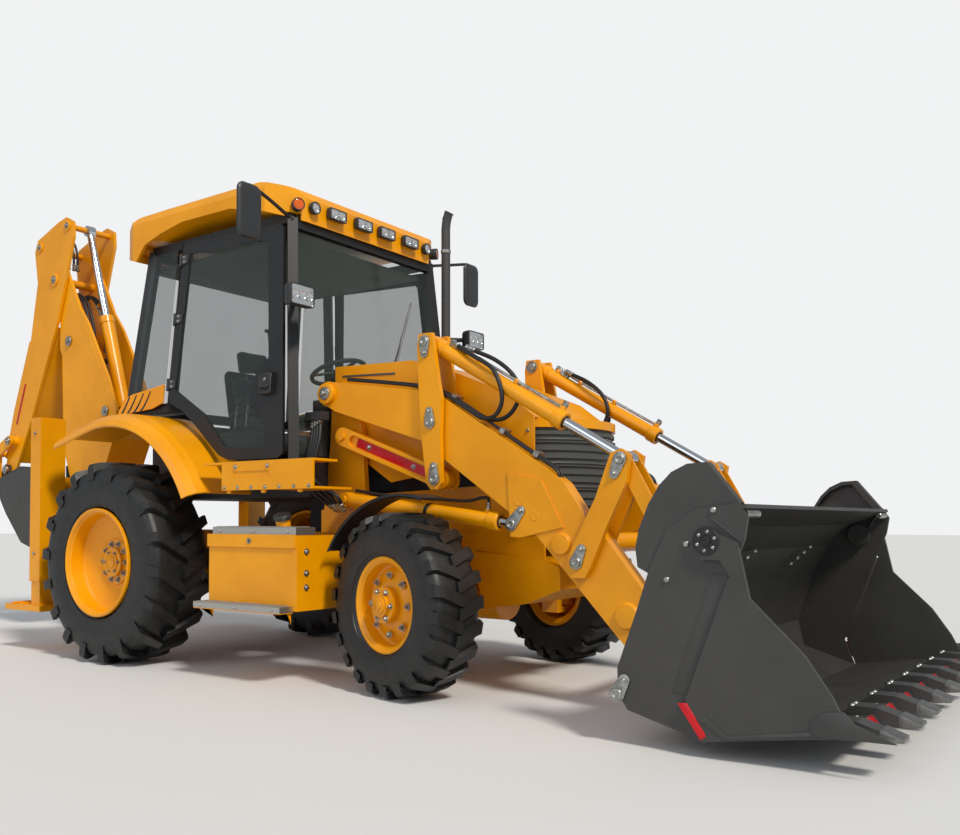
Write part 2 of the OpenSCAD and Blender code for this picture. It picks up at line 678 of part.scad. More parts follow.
// Front jaw of the shovel with its lip and teeth
module shovel_jaw() color(charcoal) placed() {
    both() plate(jaw_side, shovel_half + 4, shovel_half + 24);
    plate([[4155, 66], [4155, 86], [4560, 156], [4720, 180], [4740, 150], [4578, 131], [4248, 79]],
        -shovel_half - 24, shovel_half + 24);
    for (i = [0:7]) translate([0, -1085 + i * 310, 0])
        plate([[4560, 150], [4640, 205], [4730, 205], [4887, 158], [4887, 148], [4700, 130]], -50, 50);
}

// Carriage that slides across the rear frame
module carriage() color(yellow) placed() {
    block(-1190, -1112, -330, 330, 480, 1270);
    block(-1190, -1045, -330, 330, 1252, 1285);
    block(-1190, -1045, -330, 330, 465, 498);
    for (z = [560, 1080]) {
        block(slew_x, -1180, -84, 84, z, z + 50);
        translate([slew_x, 0, z]) cylinder(r = 84, h = 50);
    }
}

// Kingpost with the ears of the boom and its ram
module kingpost() color(yellow) placed() {
    translate([slew_x, 0, 612]) cylinder(r = 82, h = 466);
    block(slew_x - 125, slew_x, -80, 80, 640, 1000);
    block(-1620, -1520, -ear_out, ear_out, 640, 720);
    both() difference() {
        plate([[slew_x - 80, 640], [slew_x - 80, 880], [-1545, 945], [-1650, 945], [-1760, 830], [-1950, 760],
            [-1960, 670], [-1900, 630]], ear_out - 40, ear_out);
        pin(boom_pin, 30.3, ear_out - 45, ear_out + 5);
    }
    pin(ram_pin, 25, -ear_out, ear_out);
}

// Boom: two side plates, webs and cross pins
module boom() color(yellow) placed() {
    both() {
        difference() {
            plate(boom_outline, boom_half - boom_plate, boom_half);
            pin(dipper_pin, 35.3, boom_half - 40, boom_half + 1);
        }
        pin(boom_pin, 70, boom_half - boom_plate, boom_half + 10);
        pin(ram_eye, 25, 40, boom_half + 8);
        pin(ram_eye, 44, 110, boom_half - boom_plate);
    }
    plate([[-1254, 1829], [-1290, 1600], [-1535, 1120], [-1533, 1020], [-1558, 1020], [-1560, 1125],
        [-1315, 1605], [-1279, 1829]], -boom_half + 1, boom_half - 1);
    pin(boom_pin, 30, -boom_half - 10, boom_half + 10);
    pin(dipper_foot, 25, -boom_half - 8, boom_half + 8);
}

module ram_barrel() color(yellow) placed() {
    barrel(ram_pin, ram_eye, hoe_barrel + 4, hoe_rod, 0, 1150, 46);
}
module ram_rod() color(steel) placed() rod(ram_pin, ram_eye, hoe_rod, 0, 640, 46);

// Dipper: side plates with webs below the boom's pin
module dipper() color(yellow) placed() {
    both() plate(dipper_outline, dipper_half - 25, dipper_half);
    plate([[-2520, 2522], [-2760, 1930], [-2900, 1500], [-2875, 1490], [-2738, 1920], [-2498, 2512]],
        -dipper_half + 1, dipper_half - 1);
    plate([[-2120, 2600], [-2471, 1870], [-2700, 1450], [-2720, 1462], [-2492, 1880], [-2142, 2612]],
        -dipper_half + 1, dipper_half - 1);
    pin(dipper_pin, 35, -dipper_half - 8, dipper_half + 8);
    both() pin(dipper_eye, 25, 40, dipper_half + 8);
    pin(crowd_pin, 25, -dipper_half - 8, dipper_half + 8);
    pin(guide_pin, 25, -dipper_half - 80, dipper_half + 80);
    pin(guide_pin, 48, -dipper_half - 49, dipper_half + 49);
    pin(bucket_pin, 30, -dipper_half - 40, dipper_half + 40);
}

module dipper_barrel() color(yellow) placed()
    barrel(dipper_foot, dipper_eye, hoe_barrel, hoe_rod, 0, 880, 46);
module dipper_rod() color(steel) placed() rod(dipper_foot, dipper_eye, hoe_rod, 0, 828, 46);
module crowd_barrel() color(yellow) placed()
    barrel(crowd_pin, crowd_eye, hoe_barrel - 6, hoe_rod - 4, 0, 1240, 44);
module crowd_rod() color(steel) placed() rod(crowd_pin, crowd_eye, hoe_rod - 4, 0, 760, 44);

module hoe_guides() color(yellow) placed() both() {
    difference() {
        link(guide_pin, crowd_eye, 48, dipper_half + 53, dipper_half + 73);
        pin(guide_pin, 25.3, dipper_half, dipper_half + 80);
    }
    pin(crowd_eye, 25, 40, dipper_half + 77);
}

module hoe_links() color(yellow) placed() both() {
    difference() {
        link(crowd_eye, link_foot, 48, dipper_half + 30, dipper_half + 48);
        pin(crowd_eye, 25.3, dipper_half, dipper_half + 60);
    }
    pin(link_foot, 34, dipper_half + 30, dipper_half + 56);
}

// Backhoe bucket with its ears and teeth
module hoe_bucket() color(charcoal) placed() {
    both() {
        plate(hoe_outline, hoe_half - 16, hoe_half);
        difference() {
            plate(hoe_ear, dipper_half + 5, dipper_half + 25);
            pin(bucket_pin, 30.3, dipper_half, dipper_half + 30);
        }
        for (y = [60, 180, 270]) plate([[-2052, 1230], [-2110, 1235], [-2118, 1400], [-2106, 1410], [-2054, 1340]],
            y - 30, y + 30);
    }
    both() pin(link_foot, 25, dipper_half + 5, dipper_half + 27);
    plate(hoe_wall, -hoe_half, hoe_half);
}

// Stabiliser leg with its pad
module stabiliser(side) color(yellow) placed() mirror([0, side > 0 ? 0 : 1, 0]) {
    difference() {
        block(-969.7, -860.3, 870.3, 1039.7, 330, 1640);
        block(-960, -870, 880, 1030, 340, 1641);
    }
    block(-1244, -790, 830, 1080, 290, 331);
}
module stabiliser_left() stabiliser(1);
module stabiliser_right() stabiliser(-1);

chassis();
rear_frame();
driveline();
hood();
grille();
cab_frame();
cab_roof();
cab_glass();
cab_interior();
seat();
fenders();
mudguards();
step_boxes();
exhaust();
lamps();
front_axle();
eyes();
knuckle_left();
knuckle_right();
rim_front_left();
rim_front_right();
rim_rear_left();
rim_rear_right();
tyre_front_left();
tyre_front_right();
tyre_rear_left();
tyre_rear_right();
door_left();
door_right();
door_glass_left();
door_glass_right();
loader_arms();
tilt_levers();
level_links();
lift_barrels();
lift_rods();
tilt_barrels();
tilt_rods();
rocker_pins();
rockers();
tip_pins();
tip_links();
shovel_pins();
shovel_shell();
shovel_jaw();
carriage();
kingpost();
boom();
ram_barrel();
ram_rod();
dipper();
dipper_barrel();
dipper_rod();
crowd_barrel();
crowd_rod();
hoe_guides();
hoe_links();
hoe_bucket();
stabiliser_left();
stabiliser_right();
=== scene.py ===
import math
import bpy
import bmesh
from mathutils import Vector, Matrix


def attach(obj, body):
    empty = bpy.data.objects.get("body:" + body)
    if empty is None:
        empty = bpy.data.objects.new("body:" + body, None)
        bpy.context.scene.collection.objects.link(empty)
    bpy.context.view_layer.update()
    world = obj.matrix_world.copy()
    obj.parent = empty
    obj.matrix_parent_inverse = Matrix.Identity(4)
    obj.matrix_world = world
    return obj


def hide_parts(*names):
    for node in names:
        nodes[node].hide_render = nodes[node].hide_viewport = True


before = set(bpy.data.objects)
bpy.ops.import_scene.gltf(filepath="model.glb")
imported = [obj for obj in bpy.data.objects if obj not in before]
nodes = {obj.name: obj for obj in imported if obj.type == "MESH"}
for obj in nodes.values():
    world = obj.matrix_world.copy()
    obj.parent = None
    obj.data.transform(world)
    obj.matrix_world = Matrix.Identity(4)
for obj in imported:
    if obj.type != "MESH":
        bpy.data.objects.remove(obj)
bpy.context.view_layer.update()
print("frame loaded:", len(nodes), "CAD nodes")

# as in the part's source: millimetres from the rear axle's centre line on the ground; originX in metres
layout = {"originX": 0.9435, "rearWheel": (0, 940, 660), "frontWheel": (2352, 840, 490), "kingpinY": 800,
          "parkSteer": -13.3}
sides = ((1, "left"), (-1, "right"))


def at(x, y, z):
    # millimetres from the rear axle's centre line on the ground, to metres in the frame
    return Vector((x / 1000 - layout["originX"], y / 1000, z / 1000))


# camera
cameraView = {"place": (5654.4, -4785.0, 937.8), "azimuth": 35.673, "pitch": 1.52, "lens": 36.0, "sensor": 36.0,
              "shiftX": 0.0034, "shiftY": 0.0801, "clip": 200}


def addCamera():
    data = bpy.data.cameras.new("photoCamera")
    data.sensor_width = cameraView["sensor"]
    data.lens = cameraView["lens"]
    data.shift_x = cameraView["shiftX"]
    data.shift_y = cameraView["shiftY"]
    data.clip_end = cameraView["clip"]
    cam = bpy.data.objects.new("photoCamera", data)
    cam.location = at(*cameraView["place"])
    cam.rotation_euler = (math.radians(90 + cameraView["pitch"]), 0, math.radians(cameraView["azimuth"]))
    bpy.context.collection.objects.link(cam)
    bpy.context.scene.camera = cam
    bpy.context.scene.view_settings.view_transform = "Standard"


addCamera()


# materials
def linear(hexColour):
    out = []
    for i in (1, 3, 5):
        c = int(hexColour[i:i + 2], 16) / 255
        out.append(c / 12.92 if c <= 0.04045 else ((c + 0.055) / 1.055) ** 2.4)
    return (*out, 1.0)


def addNode(tree, kind, settings=None, links=None):
    # settings: attribute or input name to value; links: input name to an output socket
    node = tree.nodes.new(kind)
    for key, value in (settings or {}).items():
        if hasattr(node, key) and key not in node.inputs:
            setattr(node, key, value)
        else:
            node.inputs[key].default_value = value
    for key, socket in (links or {}).items():
        tree.links.new(socket, node.inputs[key])
    return node


def finishOf(name, colour, roughness, metallic=0.0, clouds=None, gloss=None, grain=None, edge=0, shader=None):
    # clouds: darker colour, patch size, where the ramp starts and ends; gloss: patch size, lowest and highest
    # roughness; grain: size, height, detail; edge: rounding of cut plate edges; sizes in millimetres
    mat = bpy.data.materials.new(name)
    mat.use_nodes = True
    tree = mat.node_tree
    bsdf = tree.nodes["Principled BSDF"]
    plain = {"Base Color": linear(colour), "Roughness": roughness, "Metallic": metallic}
    for key, value in {**plain, **(shader or {})}.items():
        bsdf.inputs[key].default_value = value
    mat.diffuse_color = linear(colour)
    where = {"Vector": addNode(tree, "ShaderNodeTexCoord").outputs["Object"]} if clouds or gloss or grain else {}
    if clouds:
        dark, size, *ends = clouds
        noise = addNode(tree, "ShaderNodeTexNoise", {"Scale": 1000 / size, "Detail": 4.0, "Roughness": 0.6}, where)
        ramp = addNode(tree, "ShaderNodeValToRGB", links={"Fac": noise.outputs["Fac"]})
        for stop, end, shade in zip(ramp.color_ramp.elements, ends, (dark, colour)):
            stop.position = end
            stop.color = linear(shade)
        tree.links.new(ramp.outputs["Color"], bsdf.inputs["Base Color"])
    if gloss:
        size, low, high = gloss
        noise = addNode(tree, "ShaderNodeTexNoise", {"Scale": 1000 / size, "Detail": 5.0}, where)
        span = addNode(tree, "ShaderNodeMapRange", {"To Min": low, "To Max": high}, {"Value": noise.outputs["Fac"]})
        tree.links.new(span.outputs["Result"], bsdf.inputs["Roughness"])
    if grain:
        size, height, detail = grain
        noise = addNode(tree, "ShaderNodeTexNoise", {"Scale": 1000 / size, "Detail": detail}, where)
        bump = addNode(tree, "ShaderNodeBump", {"Strength": 1.0, "Distance": height / 1000},
                       {"Height": noise.outputs["Fac"]})
        tree.links.new(bump.outputs["Normal"], bsdf.inputs["Normal"])
        if edge:
            rounded = addNode(tree, "ShaderNodeBevel", {"samples": 3, "Radius": edge / 1000})
            tree.links.new(rounded.outputs["Normal"], bump.inputs["Normal"])
    return mat


# sprayed two-pack enamel on steel plate: gloss with a faint orange peel of about 5 mm, pulled round cut edges
def sprayedEnamel(name, light, dark):
    return finishOf(name, light, 0.3, 0.0, (dark, 420, 0.35, 0.65), (90, 0.24, 0.4), (5, 0.05, 2.0), 3,
                    {"Coat Weight": 0.12, "Coat Roughness": 0.12, "Specular IOR Level": 0.35})


# powder coat on steel tube: even satin with a fine pebble of about 1 mm, drawn at 3 mm so that it shows
def powderCoat(name, colour, roughness=0.42):
    return finishOf(name, colour, roughness, gloss=(60, roughness - 0.06, roughness + 0.08), grain=(3, 0.04, 3.0))


# cured tyre rubber with carbon black: matt, with a faint dusty bloom
def tyreRubber(name, light, dark):
    return finishOf(name, light, 0.5, 0.0, (dark, 60, 0.3, 0.7), (40, 0.34, 0.62), (6, 0.3, 3.0))


# zinc-plated steel: pale grey metal with soft cloudy crystals
def zincPlate(name, colour="#B9B9B4", roughness=0.38):
    return finishOf(name, colour, roughness, 1.0, ("#8C8C86", 22, 0.35, 0.65), (15, roughness - 0.1, roughness + 0.14))


# moulded ABS or polypropylene with a spark-eroded grain of about 1 mm, drawn at 2.5 mm
def mouldedPlastic(name, colour, roughness=0.5):
    return finishOf(name, colour, roughness, gloss=(30, roughness - 0.06, roughness + 0.1), grain=(2.5, 0.08, 3.0))


# clear or coloured polycarbonate lens
def lensPlastic(name, colour, alpha):
    return finishOf(name, colour, 0.08, shader={"IOR": 1.58, "Alpha": alpha})


# woven seat cloth, threads about 1 mm, drawn at 3 mm so that they show
def wovenCloth(name, colour, dark):
    mat = finishOf(name, colour, 0.85, shader={"Sheen Weight": 0.3})
    tree = mat.node_tree
    bsdf = tree.nodes["Principled BSDF"]
    coord = addNode(tree, "ShaderNodeTexCoord")
    wave = addNode(tree, "ShaderNodeTexWave", {"Scale": 100.0, "Distortion": 0.4}, {"Vector": coord.outputs["Object"]})
    ramp = addNode(tree, "ShaderNodeValToRGB", links={"Fac": wave.outputs["Fac"]})
    for stop, shade in zip(ramp.color_ramp.elements, (dark, colour)):
        stop.color = linear(shade)
    tree.links.new(ramp.outputs["Color"], bsdf.inputs["Base Color"])
    bump = addNode(tree, "ShaderNodeBump", {"Strength": 0.6, "Distance": 0.0006}, {"Height": wave.outputs["Fac"]})
    tree.links.new(bump.outputs["Normal"], bsdf.inputs["Normal"])
    return mat


enamelYellow = sprayedEnamel("enamelYellow", "#EFA000", "#E39400")
enamelRed = sprayedEnamel("enamelRed", "#C8101C", "#B00A14")
coatBlack = powderCoat("powderCoatBlack", "#191A1B")
coatGrey = powderCoat("powderCoatGrey", "#55585A", 0.4)
ironPaint = powderCoat("castIronPaint", "#2B2C2D", 0.55)
exhaustSteel = powderCoat("heatproofPaintedSteel", "#3A3A3A", 0.5)
# wear plate painted in thin flat charcoal: cloudy, a little dusty
charcoalPaint = finishOf("charcoalPaint", "#403F3D", 0.5, 0.0, ("#353432", 260, 0.25, 0.75), (120, 0.38, 0.62),
                         (14, 0.12, 3.0))
rubberTyre = tyreRubber("tyreRubber", "#1F2020", "#111212")
rubberHose = tyreRubber("hoseRubber", "#17181A", "#101112")
# ground and hard-chromed rod: mirror-like with hairline grinding marks
chromeRod = finishOf("hardChromeRod", "#C9CCCE", 0.12, 1.0, gloss=(8, 0.06, 0.2))
zincSteel = zincPlate("zincPlatedSteel")
wornSteel = zincPlate("abradedToothSteel", "#77746E", 0.42)
# extruded aluminium tread, anodised: pale satin metal
treadAluminium = finishOf("anodisedAluminiumTread", "#B9B8B2", 0.36, 0.9)
grilleBlack = mouldedPlastic("grillePlastic", "#4A4C48", 0.45)
consolePlastic = mouldedPlastic("consolePlastic", "#2C2E30")
housingPlastic = mouldedPlastic("mirrorHousingPlastic", "#2A2C2E", 0.4)
feltHeadliner = mouldedPlastic("pressedFeltHeadliner", "#4B4E4D", 0.8)
# tinted safety glass: thin, slightly grey-green
cabGlass = finishOf("tintedSafetyGlass", "#46524F", 0.02, shader={"IOR": 1.45, "Alpha": 0.26,
                                                                  "Specular IOR Level": 0.6})
seatCloth = wovenCloth("seatCloth", "#34373A", "#212326")
amberLens = lensPlastic("amberLens", "#E0631A", 0.9)
clearLens = lensPlastic("clearLens", "#D5DCE0", 0.3)
# silvered mirror glass
mirrorGlass = finishOf("silveredGlass", "#C8CDD0", 0.04, 1.0)
print("materials made")

nodeFinish = (
    (enamelYellow, "chassis rear_frame hood cab_roof fenders step_boxes front_axle eyes knuckle_left knuckle_right"
                   " rim_front_left rim_front_right rim_rear_left rim_rear_right loader_arms tilt_levers level_links"
                   " lift_barrels tilt_barrels rockers tip_links carriage kingpost boom ram_barrel dipper"
                   " dipper_barrel crowd_barrel hoe_guides hoe_links stabiliser_left stabiliser_right"),
    (coatBlack, "cab_frame mudguards door_left door_right exhaust"),
    (charcoalPaint, "shovel_shell shovel_jaw hoe_bucket"),
    (chromeRod, "lift_rods tilt_rods ram_rod dipper_rod crowd_rod"),
    (zincSteel, "rocker_pins tip_pins shovel_pins"),
    (ironPaint, "driveline"), (grilleBlack, "grille"), (cabGlass, "cab_glass door_glass_left door_glass_right"),
    (consolePlastic, "cab_interior"), (seatCloth, "seat"), (housingPlastic, "lamps"))


def dressNodes():
    for material, names in nodeFinish:
        for name in names.split():
            mesh = nodes[name].data
            mesh.materials.clear()
            mesh.materials.append(material)


dressNodes()


# mesh helpers; sizes in millimetres unless a note says otherwise
bevelSet = {"angle": 40, "segments": 2}
upward = (0, 0.0001, 1)  # a hair off vertical, so that facing can find its sideways axis


def smoothByAngle(mesh, angle):
    bm = bmesh.new()
    bm.from_mesh(mesh)
    limit = math.radians(angle)
    for f in bm.faces:
        f.smooth = True
    for e in bm.edges:
        e.smooth = len(e.link_faces) == 2 and e.calc_face_angle(0) < limit
    bm.to_mesh(mesh)
    bm.free()


def meshOf(bm, name):
    bmesh.ops.recalc_face_normals(bm, faces=bm.faces)
    mesh = bpy.data.meshes.new(name)
    bm.to_mesh(mesh)
    bm.free()
    return mesh


def finishPiece(name, mesh, materials, body, slot, smooth=30, bevel=0.0, segments=None, replaces=None):
    obj = bpy.data.objects.new(name, mesh)
    bpy.context.collection.objects.link(obj)
    for m in materials:
        mesh.materials.append(m)
    if bevel > 0:
        mod = obj.modifiers.new("bevel", "BEVEL")
        mod.width = bevel / 1000
        mod.segments = segments or bevelSet["segments"]
        mod.limit_method = "ANGLE"
        mod.angle_limit = math.radians(bevelSet["angle"])
        applyModifiers(obj)
    smoothByAngle(obj.data, smooth)
    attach(obj, body)
    if replaces:
        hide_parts(replaces)
    return obj


def applyModifiers(obj):
    deps = bpy.context.evaluated_depsgraph_get()
    obj.data = bpy.data.meshes.new_from_object(obj.evaluated_get(deps))
    obj.modifiers.clear()


def polar(radius, angle, height=0):
    # millimetres to metres
    return Vector((radius / 1000 * math.cos(angle), radius / 1000 * math.sin(angle), height / 1000))


def circle(segments):
    return [2 * math.pi * k / segments for k in range(segments)]


def alongAxis(origin, direction):
    # matrix whose z axis points along direction
    return Matrix.Translation(origin) @ direction.normalized().to_track_quat("Z", "Y").to_matrix().to_4x4()


def tilted(place, degrees):
    return Matrix.Translation(place) @ Matrix.Rotation(math.radians(degrees), 4, "Y")


def smoothPath(points, steps):
    # Catmull-Rom curve through the points
    ext = [points[0] * 2 - points[1]] + points + [points[-1] * 2 - points[-2]]
    out = []
    for i in range(1, len(ext) - 2):
        p0, p1, p2, p3 = ext[i - 1:i + 3]
        for s in range(steps):
            t = s / steps
            out.append(0.5 * ((2 * p1) + (p2 - p0) * t + (2 * p0 - 5 * p1 + 4 * p2 - p3) * t * t
                              + (3 * p1 - p0 - 3 * p2 + p3) * t ** 3))
    out.append(points[-1])
    return out


def roundedRing(w, h, r, steps=5):
    # rounded rectangle as (u, v), half sizes w and h
    r = min(r, w, h)
    out = []
    for k, (cx, cy) in enumerate(((w - r, h - r), (-w + r, h - r), (-w + r, -h + r), (w - r, -h + r))):
        for i in range(steps + 1):
            a = math.pi / 2 * (k + i / steps)
            out.append((cx + r * math.cos(a), cy + r * math.sin(a)))
    return out


def inPlane(y, points):
    # (x, z) points of one plane across the machine
    return [(x, y, z) for x, z in points]


# fittings: bolt sizes are shares of the size across its flats
boltSet = {"washer": 0.92, "washerHeight": 0.14, "corner": 0.577, "head": 0.62}
keeperSet = {"pinEnd": 36, "boltEnd": 25, "thick": 9, "bolt": 19}
weldSet = {"ripple": 5, "rise": 0.35}


class Piece:
    # a piece while it is built; y of a place or direction is given for the left side and mirrored on the right,
    # and a Vector is taken as it stands, in metres; material is the place in the piece's list of materials;
    # a loop over piece.side puts both sides into one piece
    def __init__(self, side=1):
        self.bm = bmesh.new()
        self.side = side

    def spot(self, p):
        return p if isinstance(p, Vector) else at(p[0], self.side * p[1], p[2])

    def heading(self, d):
        return d if isinstance(d, Vector) else Vector((d[0], self.side * d[1], d[2]))

    def facing(self, place, direction):
        # z axis along direction, y axis upwards
        z = self.heading(direction).normalized()
        x = Vector((0, 0, 1)).cross(z).normalized()
        return Matrix.Translation(self.spot(place)) @ Matrix((x, z.cross(x), z)).transposed().to_4x4()

    def face(self, corners, material=0):
        self.bm.faces.new(corners).material_index = material

    def skin(self, loops, material=0, first=False, last=False, around=False):
        # quads between loops of vertices, fans where a loop is one point, and caps on the ends
        for a, b in zip(loops, loops[1:] + (loops[:1] if around else [])):
            n = max(len(a), len(b))
            for i in range(n):
                j = (i + 1) % n
                if len(a) > 1 and len(b) > 1:
                    self.face((a[i], a[j], b[j], b[i]), material)
                elif n > 1:
                    self.face((a[0], b[j], b[i]) if len(a) == 1 else (a[i], a[j], b[0]), material)
        if first:
            self.face(loops[0][::-1], material)
        if last:
            self.face(loops[-1], material)

    def lathe(self, profile, matrix, segments=64, material=0, around=False):
        # profile: (radius, height) turned about the matrix's z axis
        self.skin([[self.bm.verts.new(matrix @ polar(r, a, h)) for a in (circle(segments) if r > 0 else (0,))]
                   for r, h in profile], material, around=around)

    def turned(self, place, profile, segments=24, material=0, along=(0, 1, 0)):
        self.lathe(profile, alongAxis(self.spot(place), self.heading(along)), segments, material)

    def bolt(self, place, across=20, material=1, along=(0, 1, 0)):
        # washer and chamfered hexagon head
        r, w = across * boltSet["washer"], across * boltSet["washerHeight"]
        corner, h = across * boltSet["corner"], across * boltSet["head"]
        self.turned(place, [(r, 0), (r, w), (across * 0.3, w)], 20, material, along)
        self.turned(place, [(corner, w), (corner, w + h * 0.82), (across * 0.5, w + h), (0, w + h)], 6, material, along)

    def dome(self, place, radius, material=1, along=(0, 1, 0)):
        self.turned(place, [(radius * a, radius * b) for a, b in ((1, 0), (1, 0.2), (0.86, 0.5), (0.55, 0.76),
                                                                  (0, 0.86))], 18, material, along)

    def box(self, low, high, matrix=None, material=0):
        c = [(x, y, z) for x in (low[0], high[0]) for y in (low[1], high[1]) for z in (low[2], high[2])]
        v = [self.bm.verts.new(matrix @ (Vector(p) / 1000) if matrix else self.spot(p)) for p in c]
        for q in ((0, 1, 3, 2), (4, 6, 7, 5), (0, 4, 5, 1), (2, 3, 7, 6), (0, 2, 6, 4), (1, 5, 7, 3)):
            self.face([v[i] for i in q], material)

    def plate(self, outline, a, b, material=0, place=lambda u, v, w: (u, w, v)):
        # outline as (u, v), which is (x, z) unless place says otherwise, swept from w = a to w = b
        low, high = ([self.bm.verts.new(self.spot(place(u, v, w))) for u, v in outline] for w in (a, b))
        self.face(low[::-1], material)
        self.face(high, material)
        self.skin([low, high], material)

    def rings(self, matrix, rings, material=0, first=True, last=True):
        # rings: half width, half height, corner radius, height along z
        self.skin([[self.bm.verts.new(matrix @ Vector((u / 1000, v / 1000, z / 1000))) for u, v in roundedRing(w, h, r)]
                   for w, h, r, z in rings], material, first, last)

    def tube(self, points, radius, steps=0, segments=10, material=0):
        path = [self.spot(p) for p in points]
        path = smoothPath(path, steps) if steps else path
        loops = []
        side = None
        for i, p in enumerate(path):
            d = (path[min(i + 1, len(path) - 1)] - path[max(i - 1, 0)]).normalized()
            side = side or d.orthogonal().normalized()
            side = (side - d * side.dot(d)).normalized()
            up = d.cross(side)
            loops.append([self.bm.verts.new(p + radius / 1000 * (math.cos(a) * side + math.sin(a) * up))
                          for a in circle(segments)])
        self.skin(loops, material, True, True)
        return path

    def hose(self, points, radius, rubber=0, ends=(0, -1)):
        # hose with a crimped steel ferrule and a hexagon nut at the ends named
        path = self.tube(points, radius, 7, 12, rubber)
        for end in ends:
            ferrule = ((1.1, -26), (1.5, -24), (1.5, -8), (1.15, -7), (1.3, -4), (1.3, 10), (1.22, 12), (1.3, 14),
                       (1.3, 30), (1.02, 34))
            self.turned(path[end], [(radius * a, h) for a, h in ferrule], 12, 1,
                        (path[2 if end == 0 else -3] - path[end]).normalized())

    def weld(self, points, radius, material=0):
        # fillet weld: a low bead with even ripples
        corners = [self.spot(p) for p in points]
        path = []
        for a, b in zip(corners, corners[1:]):
            n = max(2, int((b - a).length / (weldSet["ripple"] / 1000)))
            path += [a.lerp(b, i / n) for i in range(n)]
        path.append(corners[-1])
        loops = []
        for i, p in enumerate(path):
            d = (path[min(i + 1, len(path) - 1)] - path[max(i - 1, 0)]).normalized()
            u = d.orthogonal().normalized()
            r = radius / 1000 * (1.0 + weldSet["rise"] * (i % 2))
            loops.append([self.bm.verts.new(p + r * (math.cos(a) * u + math.sin(a) * d.cross(u))) for a in circle(6)])
        self.skin(loops, material)

    def keeper(self, pin, bolt, y, material=1):
        # galvanised oblong plate that locks a pin, with the pin's end and one bolt; pin and bolt are (x, z)
        a = math.atan2(bolt[1] - pin[1], bolt[0] - pin[0])
        face = y + keeperSet["thick"]
        self.plate([(c[0] + r * math.cos(a + t), c[1] + r * math.sin(a + t))
                    for c, r, start in ((pin, keeperSet["pinEnd"], 90), (bolt, keeperSet["boltEnd"], -90))
                    for t in (math.radians(start + 15 * k) for k in range(13))], y, face, material)
        self.turned((pin[0], face, pin[1]), [(27, 0), (27, 5), (23, 9), (13, 9), (11, 5), (9, 4), (0, 4)], 28, material)
        self.bolt((bolt[0], face, bolt[1]), keeperSet["bolt"], material)

    def finish(self, name, *rest, **more):
        # rest and more as finishPiece takes them after the mesh
        return finishPiece(name, meshOf(self.bm, name), *rest, **more)


# tyres
tyreSet = {"rear": {"radius": 660, "width": 430, "bead": 353, "lug": 44, "count": 18, "lugWidth": 62, "skew": 120,
                    "shoulder": 74},
           "front": {"radius": 490, "width": 320, "bead": 254, "lug": 26, "count": 22, "lugWidth": 60, "skew": 60,
                     "shoulder": 44}}


def wheelPlace(side, axle):
    # z axis out of the wheel; the front wheels are turned about their kingpins to the parked steering
    x, y, z = layout[axle + "Wheel"]
    place = Matrix.Translation(at(x, side * y, z))
    if axle == "front":
        pivot = at(x, side * layout["kingpinY"], z)
        turn = Matrix.Rotation(math.radians(layout["parkSteer"]), 4, "Z")
        place = Matrix.Translation(pivot) @ turn @ Matrix.Translation(-pivot) @ place
    return place @ Matrix.Rotation(math.radians(-90 * side), 4, "X")


def makeTyres():
    for side, label in sides:
        for axle, s in tyreSet.items():
            w, bead, crown = s["width"] / 2, s["bead"], s["radius"] - s["lug"]
            mid = (crown + bead) / 2
            outer = [(bead - 2, -w + 36), (bead + 14, -w + 16), (bead + 20, -w + 14), (bead + 22, -w + 8),
                     (mid - 30, -w + 1), (mid, -w), (mid + 26, -w + 2), (crown - 62, -w + 5), (crown - 34, -w + 12),
                     (crown - 12, -w + 28), (crown - 3, -w + 60), (crown, -w * 0.4), (crown + 2, 0)]
            outer += [(r, -h) for r, h in outer[:-1][::-1]]
            inner = [(bead - 2, w - 36), (bead + 10, w - 50), (bead + 10, -w + 50)]
            piece = Piece()
            matrix = wheelPlace(side, axle)
            piece.lathe(outer + inner, matrix, 96, around=True)
            for i in range(s["count"]):
                for sign in (-1, 1):
                    start = (i + (0 if sign > 0 else 0.5)) * 2 * math.pi / s["count"] + 1.5 * math.pi
                    addLug(piece, s, matrix, start, sign, crown)
            piece.finish("tyre%s_%s" % (axle.capitalize(), label), [rubberTyre], "wheel_%s_%s" % (axle, label),
                         "tyre_rubber", 40, replaces="tyre_%s_%s" % (axle, label))


def addLug(piece, s, matrix, start, sign, crown):
    # trapezoid section swept from just past the middle, over the shoulder and down the sidewall
    w, top, half = s["width"] / 2, s["radius"], s["lugWidth"] / 2
    path = [(t, -16 + (w - 24) * t, crown - 6, top - 2 - 3 * t * t) for t in (k / 6 for k in range(7))]
    path += [(1.06, w - 10, crown - 22, top - 12), (1.10, w + 1, crown - s["shoulder"] * 0.5, top - 34),
             (1.13, w + 2, crown - s["shoulder"], crown - s["shoulder"] + 14)]
    loops = [[piece.bm.verts.new(matrix @ polar(r, start + (s["skew"] * (t - 0.5) + off) / top, sign * y))
              for off, r in ((-half - 7, low), (-half, high), (half, high), (half + 7, low))]
             for t, y, low, high in path]
    for a, b in zip(loops, loops[1:]):
        for k in range(3):
            piece.face((a[k], a[k + 1], b[k + 1], b[k]))
    piece.face(loops[0])
    piece.face(loops[-1][::-1])


makeTyres()
print("tyres made")

